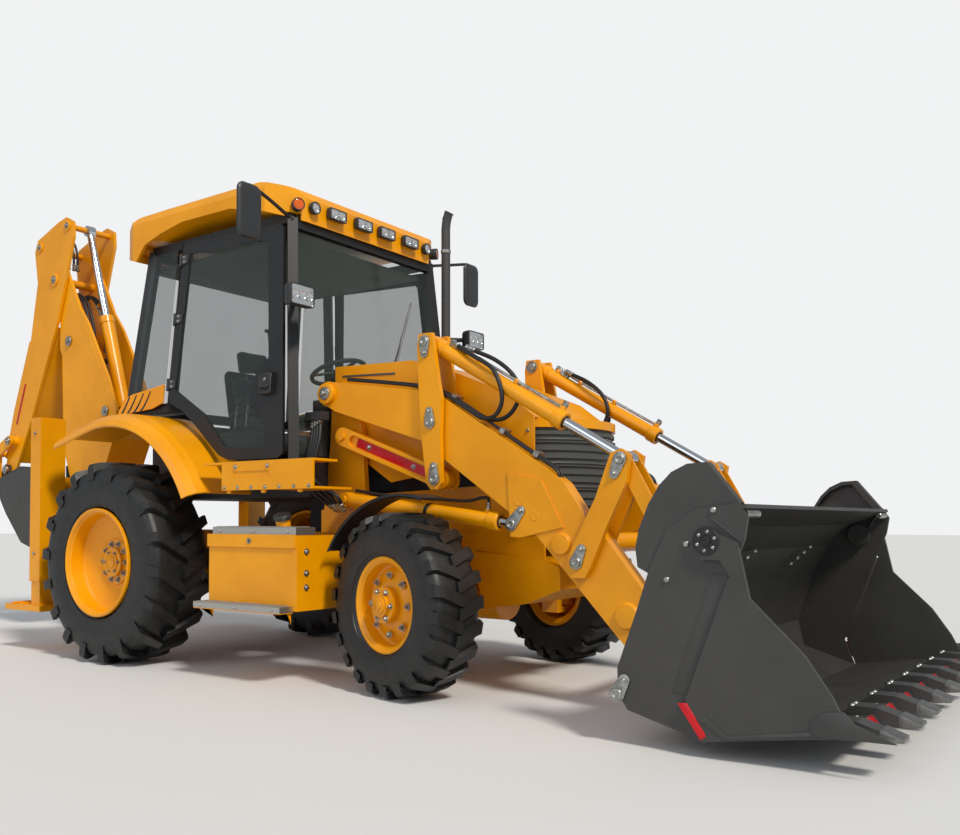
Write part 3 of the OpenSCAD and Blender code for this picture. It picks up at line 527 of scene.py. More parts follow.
# loader arms
armSet = {"y": 555, "face": 600, "gusset": 608.4, "plate": 640.4, "inner": 469.8, "pivot": (1542, 1700),
          "crossTubes": ((3175, 816, 55), (3542, 474, 62)),
          "hoses": (((1700, 592, 1776), (2000, 592, 1733), (2250, 590, 1690), (2420, 588, 1634), (2560, 588, 1552),
                     (2680, 592, 1486), (2772, 596, 1496), (2815, 600, 1590), (2757, 600, 1738), (2600, 590, 1838),
                     (2478, 566, 1912)),
                    ((1700, 560, 1778), (2000, 560, 1735), (2250, 560, 1693), (2420, 558, 1638), (2560, 556, 1556),
                     (2690, 540, 1482), (2790, 512, 1494), (2856, 500, 1590), (2830, 500, 1700), (2720, 510, 1800),
                     (2560, 540, 1878))),
          "levers": (((2323, 1929), (2323, 1862)), ((2362, 1476), (2359, 1536)), ((2393, 1164), (2390, 1229))),
          "rocker_body": (((3527, 1231), (3497, 1160)), ((3285, 728), (3315, 792)))}


def makeArmFittings():
    px, pz = armSet["pivot"]
    for side, label in sides:
        piece = Piece(side)
        for x, z, r in armSet["crossTubes"]:
            piece.turned((x, armSet["face"], z), [(r + 5, 0), (r + 3, 3), (r, 4), (r, 13), (r - 4, 17), (0, 17)], 48)
        piece.turned((px, armSet["face"], pz), [(64, 0), (64, 26), (60, 30), (0, 30)], 40)
        for x, z in ((2921, 1036), (3021, 958)):
            piece.turned((x, armSet["gusset"], z), [(26, 0), (24.5, 1.6), (22, 1.4), (15, 0.4), (0, 0.4)], 32)
        piece.turned((px, armSet["face"] + 30, pz), [(40, 0), (40, 7), (37, 9), (16, 9)], 32, 1)
        piece.bolt((px, armSet["face"] + 37, pz), 30)
        piece.keeper((2880, 915), (2941, 985), armSet["gusset"])
        piece.finish("armFittings_" + label, [enamelYellow, zincSteel], "arms", "machine_yellow", bevel=1.2)

        # steel tubes and hoses along the arm's top edge, with the loops up to the tilt cylinder
        piece = Piece(side)
        for k, y in enumerate((538, 568)):
            line = [(2660 + 20 * k, 1487), (2893, 1343), (3064, 1236), (3118, 1203), (3142, 1172), (3146, 1130)]
            piece.tube(inPlane(y, line), 8, 6, 10, 2)
        for x, z in ((2480, 1605), (2800, 1402), (3010, 1271)):
            piece.box((-16, -34, -4), (16, 34, 22), tilted(piece.spot((x, 553, z)), 31.5), 1)
        for route in armSet["hoses"]:
            piece.hose(route, 12, ends=(-1,))
        piece.finish("armHoses_" + label, [rubberHose, zincSteel, coatBlack], "arms", "machine_yellow", 40)


def makeLeverFittings():
    pinEnd = [(40, 0), (40, 6), (33, 6), (31, 2), (27, 2), (27, 8), (23, 11), (0, 11)]
    for side, label in sides:
        for body in ("levers", "rocker_body"):
            piece = Piece(side)
            for pin, bolt in armSet[body]:
                piece.keeper(pin, bolt, armSet["plate"], 0)
                # plain pin end with its ring on the inner plate, but not behind the rocker's own pin
                if pin != (3285, 728):
                    piece.turned((pin[0], armSet["inner"], pin[1]), pinEnd, 32, 0, (0, -1, 0))
            piece.finish("keepers_%s_%s" % (body, label), [zincSteel], body, "pin_steel", bevel=1.0)


cylinderSet = {"tilt": ((2323, 1929), (3527, 1231)), "lift": ((1664, 1058), (2880, 915)),
               "levelLink": ((1645, 1438), (2392, 1163)), "linkEnd": 118, "linkHalf": 27}


def cylinderAxis(p, q, y=0):
    # (x, z) pins of a cylinder: a function from distance, offset across and offset in y to a place, and both axes
    d = Vector((q[0] - p[0], q[1] - p[1])).normalized()
    n = Vector((-d.y, d.x)) if d.x > 0 else Vector((d.y, -d.x))

    def place(s, off, dy=0):
        return p[0] + d.x * s + n.x * off, y + dy, p[1] + d.y * s + n.y * off
    return place, Vector((d.x, 0, d.y)), Vector((n.x, 0, n.y))


def makeLoaderCylinders():
    wiper = [(33, 0), (33, 4), (29, 6), (27.3, 6)]
    for side, label in sides:
        piece = Piece(side)
        place, along, up = cylinderAxis(*cylinderSet["tilt"], armSet["y"])
        piece.turned(place(48, 0), [(38, 0), (50, 4), (50, 44), (47, 48), (43, 52)], 48, 0, along)
        piece.turned(place(912, 0), [(43, 0), (49, 4), (51, 8), (51, 64), (48, 69), (34, 69), (31, 64)], 48, 0, along)
        piece.turned(place(981, 0), wiper, 36, 2, along)
        for s, h in ((150, 26), (935, 30)):
            piece.turned(place(s, 40), [(19, 0), (18, h - 6), (15, h - 5), (15, h)], 24, 0, up)
        # port fittings
        for k, (s, off) in enumerate(((118, 60), (150, 64), (186, 58))):
            piece.turned(place(s, off - 12, 6 - 9 * k), [(13, 0), (13, 20), (10, 22), (10, 34), (12, 36), (12, 50),
                                                         (9, 52)], 6 if k == 1 else 16, 1, along)
        for k in (-1, 1):
            piece.bolt(place(230, 52, k * 14), 16, 1, up)
        pipe = ((170, 62), (240, 60), (330, 57), (560, 56), (800, 56), (900, 57), (938, 62), (950, 78), (944, 92))
        piece.tube([place(*p) for p in pipe], 8.5, 6, 12, 1)
        piece.turned(place(936, 66), [(14, 0), (14, 12), (11, 13), (11, 20), (13, 21), (13, 30), (0, 31)], 6, 1, up)
        for s in (330, 610):
            piece.turned(place(s, 42), [(15, 0), (15, 20), (12, 24), (0, 25)], 16, 0, up)
        piece.finish("tiltCylinderFittings_" + label, [enamelYellow, zincSteel, rubberHose], "tilt_barrel_body",
                     "machine_yellow", bevel=1.0)

        piece = Piece(side)
        place, along, up = cylinderAxis(*cylinderSet["lift"], armSet["y"])
        piece.turned(place(1046, 0), [(45, 0), (51, 4), (52, 8), (52, 66), (49, 71), (35, 71)], 48, 0, along)
        piece.turned(place(1117, 0), wiper, 36, 2, along)
        piece.turned(place(1030, 42), [(17, 0), (17, 16), (13, 18)], 20, 0, up)
        piece.turned(place(1030, 60), [(14, 0), (14, 14), (11, 15), (11, 22), (13, 23), (13, 34), (0, 35)], 6, 1, up)
        pipe = ((60, 62), (200, 60), (420, 62), (700, 76), (890, 88), (970, 112), (1018, 116), (1030, 96))
        piece.tube([place(*p) for p in pipe], 9.5, 6, 12, 2)
        for s in (250, 620):
            piece.turned(place(s, 0), [(45, 0), (48, 2), (48, 22), (45, 24)], 40, 2, along)
        piece.finish("liftCylinderFittings_" + label, [enamelYellow, zincSteel, rubberHose], "lift_barrel_body",
                     "machine_yellow", bevel=1.0)

        # red reflective strip in the level link's channel
        piece = Piece(side)
        a, b = (Vector(p) for p in cylinderSet["levelLink"])
        d = (b - a).normalized()
        n = Vector((-d.y, d.x)) * cylinderSet["linkHalf"]
        first, last = a + d * cylinderSet["linkEnd"], b - d * cylinderSet["linkEnd"]
        outline = [(p.x, p.y) for p in (first - n, last - n, last + n, first + n)]
        piece.plate(outline, 569.4, 571.9)
        piece.plate(outline, 540.6, 538.1)
        for t in (0.18, 0.82):
            p = first.lerp(last, t)
            piece.bolt((p.x, 572, p.y), 17)
        piece.finish("levelLinkStrip_" + label, [enamelRed, zincSteel], "level", "machine_yellow", bevel=0.6)


makeArmFittings()
makeLeverFittings()
makeLoaderCylinders()
print("loader fittings made")

# shovel: the back wall's bolts stand in two slanted rows that start at rows, measured from the left edge
shovelSet = {"wall": 1170.4, "rows": (192, 1075), "rowStep": (66, 29), "edge": 620}


def makeShovelFittings():
    y = shovelSet["wall"]
    for side, label in sides:
        piece = Piece(side)
        for x, z in ((4206, 977), (4092, 842), (4007, 696)):
            piece.dome((x, y, z), 14)
        # weld beads where the side is joined
        for line in (((4193, 945), (4314, 856)), ((4262, 721), (4175, 480), (4088, 240))):
            piece.weld(inPlane(y, line), 2.6)
        piece.keeper((3781, 212), (3817, 273), y)
        # sealing lip behind the jaw's plate
        piece.plate([(4200, 727), (4278, 716), (4104, 236), (4030, 246)], 1169.4, 1172.8)
        piece.finish("shovelSideFittings_" + label, [charcoalPaint, zincSteel], "shovel_body", "shovel_charcoal",
                     bevel=0.8)
        # pin tube at the shell's top corner
        piece = Piece(side)
        piece.turned((4322, 1150, 962), [(17, 0), (17, 150), (13, 153), (0, 153)], 24, 0, (0, -1, 0))
        piece.finish("shovelPinTube_" + label, [zincSteel], "shovel_body", "pin_steel", bevel=0.8)
    piece = Piece()
    stepY, stepZ = shovelSet["rowStep"]
    for start in shovelSet["rows"]:
        for k in range(4):
            z = 700 + stepZ * k
            piece.dome((3944 + (z - 612) * 0.52, start - shovelSet["edge"] + stepY * k, z), 15, 0, (0.88, 0, -0.46))
    piece.finish("shovelWallBolts", [zincSteel], "shovel_body", "pin_steel", 40)


makeShovelFittings()
print("shovel fittings made")

# lamps, mirrors and exhaust
lampSet = {"roof": (1352.4, 2878.5), "twinY": (115, 365), "cornerTurn": 27.3, "bowl": 0.62, "work": (1521, 865, 2245)}
mirrorSet = {"place": (1374, 1088, 2720), "half": (88, 160), "round": 46}
exhaustSet = {"x": 1632, "y": 452, "radius": 31}


def addLamp(piece, matrix, half, r, depth, lens, cells=((0, 0),), bowl=None):
    # housing with a bezel in the first material, reflector bowls in the second, slightly crowned lens
    w, h = half
    piece.rings(matrix, [(w * 0.8, h * 0.8, r * 0.8, 0), (w * 0.95, h * 0.95, r, depth * 0.2), (w, h, r, depth * 0.55),
                         (w, h, r, depth - 4), (w - 2, h - 2, r - 1, depth), (w - 6, h - 6, r - 3, depth),
                         (w - 7, h - 7, r - 3, depth - 5)], 0, True, False)
    piece.rings(matrix, [(w - 7, h - 7, r - 3, depth - 5), (w - 7.5, h - 7.5, r - 3, depth - 15)], 1, False)
    piece.rings(matrix, [(w - 7, h - 7, r - 3, depth - 4), (w * 0.6, h * 0.6, r * 0.6, depth - 1.5),
                         (w * 0.2, h * 0.2, r * 0.2, depth - 1)], lens, False)
    q = bowl or min(w, h) * lampSet["bowl"]
    for u, v in cells:
        piece.lathe([(q, depth - 7), (q * 0.86, depth - 11), (q * 0.55, depth - 14), (q * 0.22, depth - 14.6),
                     (q * 0.2, depth - 9), (0, depth - 8.4)],
                    matrix @ Matrix.Translation((u / 1000, v / 1000, 0)), 24, 1)


def makeLamps():
    piece = Piece()
    housing, white, amber, mirror, tube, wire = 0, 2, 3, 4, 5, 6
    x, z = lampSet["roof"]
    for s in (-1, 1):
        piece.side = s
        for y in lampSet["twinY"]:
            addLamp(piece, piece.facing((x, y, z), (1, 0, 0)), (75, 36.5), 9, 49.5, white, ((-34, 0), (34, 0)), 25)
        addLamp(piece, piece.facing((x, 555, 2878), (1, 0, 0)), (40, 40), 40, 40, white)
        t = math.radians(lampSet["cornerTurn"])
        addLamp(piece, piece.facing((1321.3, 660.2, 2872), (math.cos(t), math.sin(t), 0)), (40, 40), 40, 60, amber)
        addLamp(piece, piece.facing((-330.4, 560, 2856), (-1, 0, 0)), (40, 40), 40, 36, amber)
        for k in (-1, 0, 1):
            # wire guard over the rear lamp
            reach = 46 if k == 0 else 46 * 0.94
            piece.tube([(-330 - 46 * math.sin(a), 560 + s * reach * math.cos(a), 2856 + k * 22)
                        for a in (math.pi * i / 10 for i in range(11))], 3, 0, 8, wire)
        bx, by, bz = lampSet["work"]
        addLamp(piece, piece.facing((bx, by, bz), (1, 0, 0)), (94, 62), 16, 78, white, ((-56, 0), (0, 0), (56, 0)), 27)
        for k in range(6):
            piece.box((-78 + 28 * k, -45, -3), (-72 + 28 * k, 45, 14), piece.facing((bx + 15, by, bz), (1, 0, 0)))
        piece.tube([(1352, 716, 2250), (1420, 764, 2252), (1500, 830, 2250), (1548, 856, 2248)], 16, 5, 14, tube)
        piece.turned((1352, 716, 2250), [(30, -6), (30, 8), (22, 12), (16, 13)], 24, tube, (0.8, 0.6, 0))

        # mirror with its tubular arm and clamp
        w, h = mirrorSet["half"]
        r = mirrorSet["round"]
        m = piece.facing(mirrorSet["place"], (1, 0, 0))
        piece.rings(m, [(w - 10, h - 10, r - 8, 4), (w - 8, h - 8, r - 6, 0.5), (w - 3, h - 3, r - 2, 0), (w, h, r, 4),
                        (w, h, r, 12), (w - 5, h - 5, r - 2, 19), (w - 18, h - 18, r - 8, 24),
                        (w - 40, h - 40, 20, 26)], housing, False)
        piece.rings(m, [(w - 10, h - 10, r - 8, 4), (w - 60, h - 60, 20, 3.4)], mirror, False)
        piece.tube([(1304, 688, 2794), (1318, 760, 2812), (1350, 900, 2842), (1366, 1040, 2874), (1371, 1084, 2872),
                    (1372, 1088, 2840), (1373, 1088, 2700), (1374, 1088, 2610)], 11, 6, 14, tube)
        for zc in (2640, 2800):
            piece.box((-20, -24, -22), (12, 24, 22), Matrix.Translation(piece.spot((1378, 1088, zc))), tube)
        piece.turned((1304, 690, 2790), [(26, -8), (26, 10), (18, 16), (11, 17)], 24, tube, (0.3, 0.95, 0.1))
    piece.finish("lampsAndMirrors",
                 [housingPlastic, chromeRod, clearLens, amberLens, mirrorGlass, coatBlack, zincSteel], "machine",
                 "lamp_black", 35, replaces="lamps")


def makeExhaust():
    piece = Piece()
    x, y, r = exhaustSet["x"], exhaustSet["y"], exhaustSet["radius"]
    path = piece.tube([(x + dx, y, z) for dx, z in ((0, 1900), (0, 2200), (0, 2600), (-1, 2900), (0, 2960), (8, 3010),
                                                    (20, 3046), (29, 3062))], r, 6, 28)
    piece.turned(path[-1], [(r, -6), (r + 2, -4), (r + 2, 1), (r - 3, 1.5), (r - 3, -60), (0, -60)], 28, 0,
                 (path[-1] - path[-2]).normalized())
    piece.turned((x, y, 1891), [(34, 0), (34, 60), (44, 64), (44, 70), (36, 74), (36, 130), (31, 134)], 32, 0,
                 (0, 0, 1))
    for z in (2040, 2780):
        piece.turned((x, y, z), [(r + 2, 0), (r + 4, 2), (r + 4, 22), (r + 2, 24)], 32, 1, (0, 0, 1))
    piece.bolt((x, y + 36, 2052), 12)
    piece.finish("exhaustStack", [exhaustSteel, zincSteel], "machine", "exhaust_black", 35, replaces="exhaust")


makeLamps()
makeExhaust()
print("lamps, mirrors and exhaust made")

# steps and tool boxes; a tread is x from and to, y from and to, height, skirt and rows of teeth
stepSet = {"treads": ((1041, 1739, 902, 1049, 892, 40, 6), (991, 1719, 1052, 1149, 455, 30, 4)), "pitch": 15,
           "filler": (1550, 960, 893)}


def makeSteps():
    for side, label in sides:
        piece = Piece(side)
        for x0, x1, y0, y1, z, skirt, rows in stepSet["treads"]:
            # channel over the step: top sheet, front skirt and end caps
            piece.box((x0, y0, z), (x1, y1, z + 3))
            piece.box((x0, y1, z - skirt), (x1, y1 + 2.5, z + 3))
            piece.box((x0 - 3, y0, z - skirt), (x0, y1 + 2.5, z + 5))
            piece.box((x1, y0, z - skirt), (x1 + 3, y1 + 2.5, z + 5))
            for row in range(rows):
                y = y0 + (y1 - y0) * (row + 0.5) / rows
                for k in range(int((x1 - x0 - 24) / stepSet["pitch"])):
                    x = x0 + 14 + stepSet["pitch"] * k
                    piece.plate([(x, z + 3), (x + 11, z + 3), (x + 8.5, z + 9), (x + 2.5, z + 9)], y - 2.4, y + 2.4)
            for x in (x0 + 60, (x0 + x1) / 2 - 12, (x0 + x1) / 2 + 12, x1 - 60):
                piece.bolt((x, y1 + 2.5, z - skirt / 2), 13, 0)
        piece.finish("treads_" + label, [treadAluminium], "machine", "iron_dark", 30, 0.6, 1)

        piece = Piece(side)
        # lid lock, hinge side bolts and ribs below the lower step
        piece.turned((1372, 1062, 818), [(17, 0), (17, 5), (14, 7), (9, 7), (9, 4), (0, 4)], 28, 1)
        piece.box((-1.5, -3, -6), (1.5, 3, 6), Matrix.Translation(piece.spot((1372, 1067, 818))), 2)
        for z in (560, 640, 760):
            for y in (700, 980):
                piece.bolt((1751, y, z), 20, 1, (1, 0, 0))
        for x in (1040, 1700):
            piece.plate([(x, 0), (x + 8, 0), (x + 8, 1), (x, 1)], 0, 1, 0,
                        lambda u, v, w: (u, 1051 + (92 - 60 * v) * w, 419 - 60 * v * (1 - w)))
        for x in (1192, 1468):
            piece.bolt((x, 1014, 1250), 15)
        for k in range(7):
            piece.bolt((1095 + 118 * k, 1014, 1128), 13)
        # filler neck behind the step, and its cap
        lean = (0.15, 0.35, 1)
        neck = piece.spot(stepSet["filler"])
        piece.turned(neck, [(42, -14), (42, 50), (38, 54)], 30, 0, lean)
        piece.turned(neck + Vector((0.0075, side * 0.018, 0.05)), [(38, 0), (52, 2), (52, 24), (47, 29), (0, 30)], 24,
                     2, lean)
        for x in (1100, 1400, 1700):
            # sill brackets
            piece.plate([(x, 1112), (x + 40, 1112), (x + 34, 1094), (x + 6, 1094)], 990, 1004)
        piece.finish("boxFittings_" + label, [enamelYellow, zincSteel, housingPlastic], "machine", "machine_yellow",
                     bevel=0.8)


makeSteps()
print("steps made")

# doors: leaning in with the cab, so the outline is turned about the sill
doorSet = {"lean": math.radians(3.9), "sill": 1290, "half": 820, "hinges": (1840, 2280, 2680)}


def leaning(x, out, z):
    # place measured outwards from the cab's leaning side
    dz = z - doorSet["sill"]
    return (x, doorSet["half"] + out - dz * math.sin(doorSet["lean"]),
            doorSet["sill"] + dz * math.cos(doorSet["lean"]))


def makeDoors():
    out = (0, math.cos(doorSet["lean"]), math.sin(doorSet["lean"]))
    up = (0, -out[2], out[1])
    for side, label in sides:
        piece = Piece(side)
        # hinges at the rear edge
        for z in doorSet["hinges"]:
            x = 262 + (z - 1760) * 60 / 1025
            piece.rings(piece.facing(leaning(x + 24, 13, z), out), [(44, 30, 8, 0), (44, 30, 8, 7), (41, 27, 6, 9)], 0,
                        False)
            piece.turned(leaning(x - 10, 16, z - 42), [(9, 0), (11, 2), (11, 82), (9, 84), (0, 84)], 20, 0, up)
            for k in (-1, 1):
                piece.bolt(leaning(x + 34, 22, z + 16 * k), 13, 1, out)
        # outside handle pod: recess, pull and key barrel
        piece.rings(piece.facing(leaning(1235, 40, 1765), out),
                    [(54, 64, 18, 0), (52, 62, 17, 5), (38, 48, 12, 6), (36, 46, 12, 2)], 0, False)
        piece.tube([leaning(*p) for p in ((1206, 46, 1738), (1214, 58, 1741), (1240, 61, 1744), (1264, 58, 1746),
                                          (1270, 46, 1747))], 7.5, 5, 12)
        piece.turned(leaning(1236, 44, 1790), [(11, 0), (11, 5), (8, 6), (0, 6)], 24, 1, out)
        # grab rail inside the door's front edge
        piece.tube([leaning(*p) for p in ((1210, -16, 1500), (1206, -52, 1530), (1180, -54, 1800), (1150, -52, 2080),
                                          (1150, -16, 2110))], 11, 6, 14)
        piece.finish("doorFittings_" + label, [housingPlastic, zincSteel], "door_%s_body" % label, "cab_black", 35, 0.5)


makeDoors()
print("door fittings made")

# wheels: studs are circle radius, height, count and size across; hubs radius, height and rise
wheelSet = {"rear": {"studs": ((122, 70, 10, 22), (66, 95, 6, 12)), "hubs": ((60, 95, 8), (40, 103, 6)),
                     "edge": (340, 214), "valve": (285, 100)},
            "front": {"studs": ((158, 92, 8, 20), (78, 142, 6, 16)), "hubs": ((46, 160, 8), (24, 168, 6)),
                      "edge": (244, 134), "valve": (190, 60)}, "valveTurn": 0.7}


def makeWheelFittings():
    for side, label in sides:
        for axle in ("rear", "front"):
            s = wheelSet[axle]
            matrix = wheelPlace(side, axle)
            out = matrix.to_3x3() @ Vector((0, 0, 1))
            piece = Piece()
            for radius, height, count, across in s["studs"]:
                for a in circle(count):
                    place = matrix @ polar(radius, a, height)
                    piece.turned(place, [(across * 0.95, 0), (across * 0.8, 4), (across * 0.5, 5)], 16, 1, out)
                    piece.bolt(place + out * 0.003, across, 1, out)
                    piece.turned(place + out * 0.003, [(across * 0.28, 0), (across * 0.28, across * 1.05),
                                                       (0, across * 1.1)], 12, 1, out)
            for radius, height, rise in s["hubs"]:
                piece.lathe([(radius, height), (radius, height + rise - 2), (radius - 3, height + rise),
                             (0, height + rise)], matrix, 36)
            # the bead seat's rolled edge, and the valve
            edge, lip = s["edge"]
            piece.lathe([(edge - 12, lip - 6), (edge - 6, lip + 1), (edge + 4, lip + 4), (edge + 12, lip + 1),
                         (edge + 12, lip - 3)], matrix, 72)
            piece.turned(matrix @ polar(s["valve"][0], wheelSet["valveTurn"], s["valve"][1]),
                         [(9, 0), (9, 8), (5, 10), (5, 34), (6, 35), (6, 44), (0, 45)], 12, 2, out)
            piece.finish("wheelFittings_%s_%s" % (axle, label), [enamelYellow, zincSteel, housingPlastic],
                         "wheel_%s_%s" % (axle, label), "machine_yellow", 35)


makeWheelFittings()
print("wheel fittings made")

# shovel teeth: nuts, red wear markers and adaptors
toothSet = {"first": -1085, "gapFirst": -930, "pitch": 310, "count": 8}


def makeTeeth():
    piece = Piece()
    for i in range(toothSet["count"]):
        y = toothSet["first"] + toothSet["pitch"] * i
        for dy in (-26, 26):
            piece.dome((4628, y + dy, 199), 15, 0, (-0.3, 0, 0.95))
        # worn bright tip
        piece.plate([(4810, 137), (4889, 147), (4889, 159), (4812, 187), (4808, 180)], y - 50.6, y + 50.6, 1)
    for i in range(toothSet["count"] - 1):
        y = toothSet["gapFirst"] + toothSet["pitch"] * i
        piece.plate([(4742, 150), (4744.5, 152.5), (4716, 184), (4713, 181)], y - 76, y + 76, 2)
        for dy in (-40, 40):
            piece.dome((4668, y + dy, 172), 12, 0, (-0.15, 0, 1))
    for piece.side in (-1, 1):
        # light square mark on the corner plate, and the plates that carry it
        piece.plate([(4660, 176), (4700, 182), (4690, 222), (4652, 212)], 1194, 1195.6)
        piece.plate([(4584, 144), (4884, 152), (4742, 206), (4703, 246), (4634, 238), (4581, 198)], 1192, 1198.5, 3)
        piece.plate([(4139, 153), (4262, 84), (4584, 143), (4754, 157), (4742, 170), (4584, 161), (4270, 103),
                     (4177, 167)], 1190, 1197, 3)
    piece.finish("teethFittings", [zincSteel, wornSteel, enamelRed, charcoalPaint], "jaw_body", "shovel_charcoal",
                 bevel=0.8)


makeTeeth()
print("teeth made")

# backhoe; a cylinder is its body, pins, barrel radius, length and the side its ports are on
hoeSet = {"dipper": 208.4, "boom": 178, "guide": 288, "bucketPin": 248, "bucket": 320.4,
          "cylinders": (("ram_barrel_body", (-1880, 700), (-1941, 2466), 64, 1150, 1),
                        ("dipper_barrel_body", (-1400, 1830), (-1935, 3450), 56, 1080, -1),
                        ("crowd_barrel_body", (-2360, 3332), (-2947, 1534), 50, 1050, 1))}


def makeDipperFittings():
    piece = Piece()
    face = hoeSet["dipper"]
    for piece.side in (-1, 1):
        for x, z, r in ((-1935, 3450, 44), (-2360, 3332, 44), (-2130, 3012, 58)):
            piece.turned((x, face, z), [(r, 0), (r, 8), (r - 4, 12), (r * 0.62, 12), (r * 0.6, 7), (r * 0.2, 7)], 40)
            piece.turned((x, face + 7, z), [(r * 0.58, 0), (r * 0.58, 5), (r * 0.3, 6)], 30, 1)
            piece.bolt((x, face + 12, z), 22)
        piece.turned((-2720, hoeSet["guide"], 1640), [(34, -4), (34, 5), (30, 8), (0, 8)], 32, 1)
        piece.bolt((-2720, hoeSet["guide"] + 8, 1640), 20)
        piece.turned((-2830, hoeSet["bucketPin"], 1390), [(38, -4), (38, 5), (34, 8), (0, 8)], 32, 1)
        # clamp blocks and steel tubes down the dipper's back
        for t in (0.22, 0.5, 0.78):
            x, z = -2400 - 341 * t, 2900 - 974 * t
            piece.box((-30, -30, -14), (30, 30, 14), tilted(piece.spot((x - 18, 120, z)), -19), 2)
            piece.bolt((x - 50, 120, z + 12), 13, 1, (-0.94, 0, 0.33))
    for y in (-140, -105, 105, 140):
        piece.tube(inPlane(y, ((-2427, 2990), (-2485, 2800), (-2605, 2470), (-2725, 2160), (-2825, 1880),
                               (-2885, 1720))), 8, 5, 10, 1)
    # hoses over the dipper's head and down to the bucket cylinder
    for y in (-60, -25, 25, 60):
        piece.hose(inPlane(y, ((-2395, 2960), (-2500, 3060), (-2560, 3210), (-2520, 3380), (-2420, 3450), (-2300, 3440),
                               (-2230, 3330), (-2215, 3180))), 11, 3)
    # red reflective strip low on the dipper
    for piece.side in (-1, 1):
        piece.plate([(-2586, 2150), (-2560, 2142), (-2700, 1790), (-2726, 1799)], face - 0.2, face + 1.6, 4)
    piece.finish("dipperFittings", [enamelYellow, zincSteel, housingPlastic, rubberHose, enamelRed], "dipper_body",
                 "machine_yellow", bevel=0.8)


def makeBoomFittings():
    piece = Piece()
    for piece.side in (-1, 1):
        for x, z, r, base, paint, across in ((-1941, 2466, 42, 187, 1, 22), (-1400, 1830, 42, 187, 1, 22),
                                             (-1600, 860, 66, 188.4, 0, 28)):
            piece.turned((x, base, z), [(r, -4), (r, 4), (r - 4, 8), (r * 0.6, 8), (r * 0.58, 4), (0, 4)], 40, paint)
            piece.bolt((x, base + 5, z), across)
        # weld along the plate's front and rear edges
        for line in (((-1990, 1520), (-2013, 1807), (-2040, 2331)), ((-1700, 2560), (-1400, 2060), (-1290, 1835))):
            piece.weld(inPlane(hoeSet["boom"], line), 3.2)
    # steel tubes and hoses between the boom's plates
    for y in (-86, -48, 48, 86):
        piece.tube(inPlane(y, ((-1480, 1010), (-1560, 1200), (-1640, 1430), (-1660, 1750), (-1700, 2080),
                               (-1750, 2400))), 8.5, 6, 10, 1)
        piece.hose(inPlane(y, ((-1750, 2400), (-1790, 2600), (-1880, 2800), (-2010, 2900), (-2110, 2890))), 12, 3, (0,))
    for x, z in ((-1600, 1300), (-1680, 1900), (-1738, 2300)):
        piece.box((-20, -110, -20), (20, 110, 20), Matrix.Translation(at(x, 0, z)), 2)
    piece.finish("boomFittings", [enamelYellow, zincSteel, housingPlastic, rubberHose], "boom_body", "machine_yellow",
                 bevel=0.8)


def makeHoeCylinders():
    for body, p, q, r, length, side in hoeSet["cylinders"]:
        piece = Piece()
        place, _, up = cylinderAxis(p, q)
        up = up * side
        for s in (120, length - 60):
            piece.turned(place(s, side * (r - 6)), [(20, 0), (19, 18), (15, 19), (15, 24)], 20, 0, up)
            piece.turned(place(s, side * (r + 16)),
                         [(15, 0), (15, 14), (11, 15), (11, 20), (14, 21), (14, 34), (0, 35)], 6, 1, up)
        pipe = ((120, 40), (170, 44), (240, 16), (500, 13), (length - 160, 13), (length - 90, 30), (length - 62, 44))
        piece.tube([place(s, side * (r + off)) for s, off in pipe], 9, 5, 10, 1)
        piece.finish("hoeFittings_" + body, [enamelYellow, zincSteel], body, "machine_yellow", bevel=0.8)


def makeHoeBucketFittings():
    piece = Piece()
    y = hoeSet["bucket"]
    for piece.side in (-1, 1):
        for x, z in ((-2250, 1310), (-2150, 1250)):
            piece.dome((x, y, z), 15)
        piece.weld(inPlane(y, ((-2700, 1330), (-2438, 1398), (-2160, 1380))), 3)
        piece.plate([(-2050, 1290), (-2110, 1332), (-2130, 1010), (-2080, 850), (-2040, 1000)], y, 326)
    for across in range(-240, 241, 120):
        piece.dome((-2080, across, 1292), 11, 1, (1, 0, 0.2))
    piece.finish("hoeBucketFittings", [charcoalPaint, zincSteel], "bucket_body", "shovel_charcoal", bevel=0.8)


def makeStabiliserFittings():
    for side, label in sides:
        piece = Piece(side)
        for z in (700, 1560):
            piece.turned((-915, 1040, z), [(26, 0), (26, 5), (22, 8), (12, 8)], 28, 1)
            piece.bolt((-915, 1045, z), 22)
        piece.plate([(-975, 1636), (-855, 1636), (-855, 1646), (-975, 1646)], 866, 1044)
        piece.weld(((-972, 1041, 333), (-858, 1041, 333)), 4)
        for x in (-1180, -1060, -840):
            piece.plate([(x, 331), (x + 10, 331), (x + 10, 344), (x, 344)], 846, 1064)
        piece.finish("stabiliserFittings_" + label, [enamelYellow, zincSteel], "stabiliser_%s_body" % label,
                     "machine_yellow", bevel=0.8)


makeDipperFittings()
makeBoomFittings()
makeHoeCylinders()
makeHoeBucketFittings()
makeStabiliserFittings()
print("backhoe fittings made")

# shovel hub on the jaw's pivot and the red strip across its floor
hubSet = {"pivot": (4184, 854), "face": 1194, "boltCircle": 38, "bolts": 6, "firstBolt": 20}


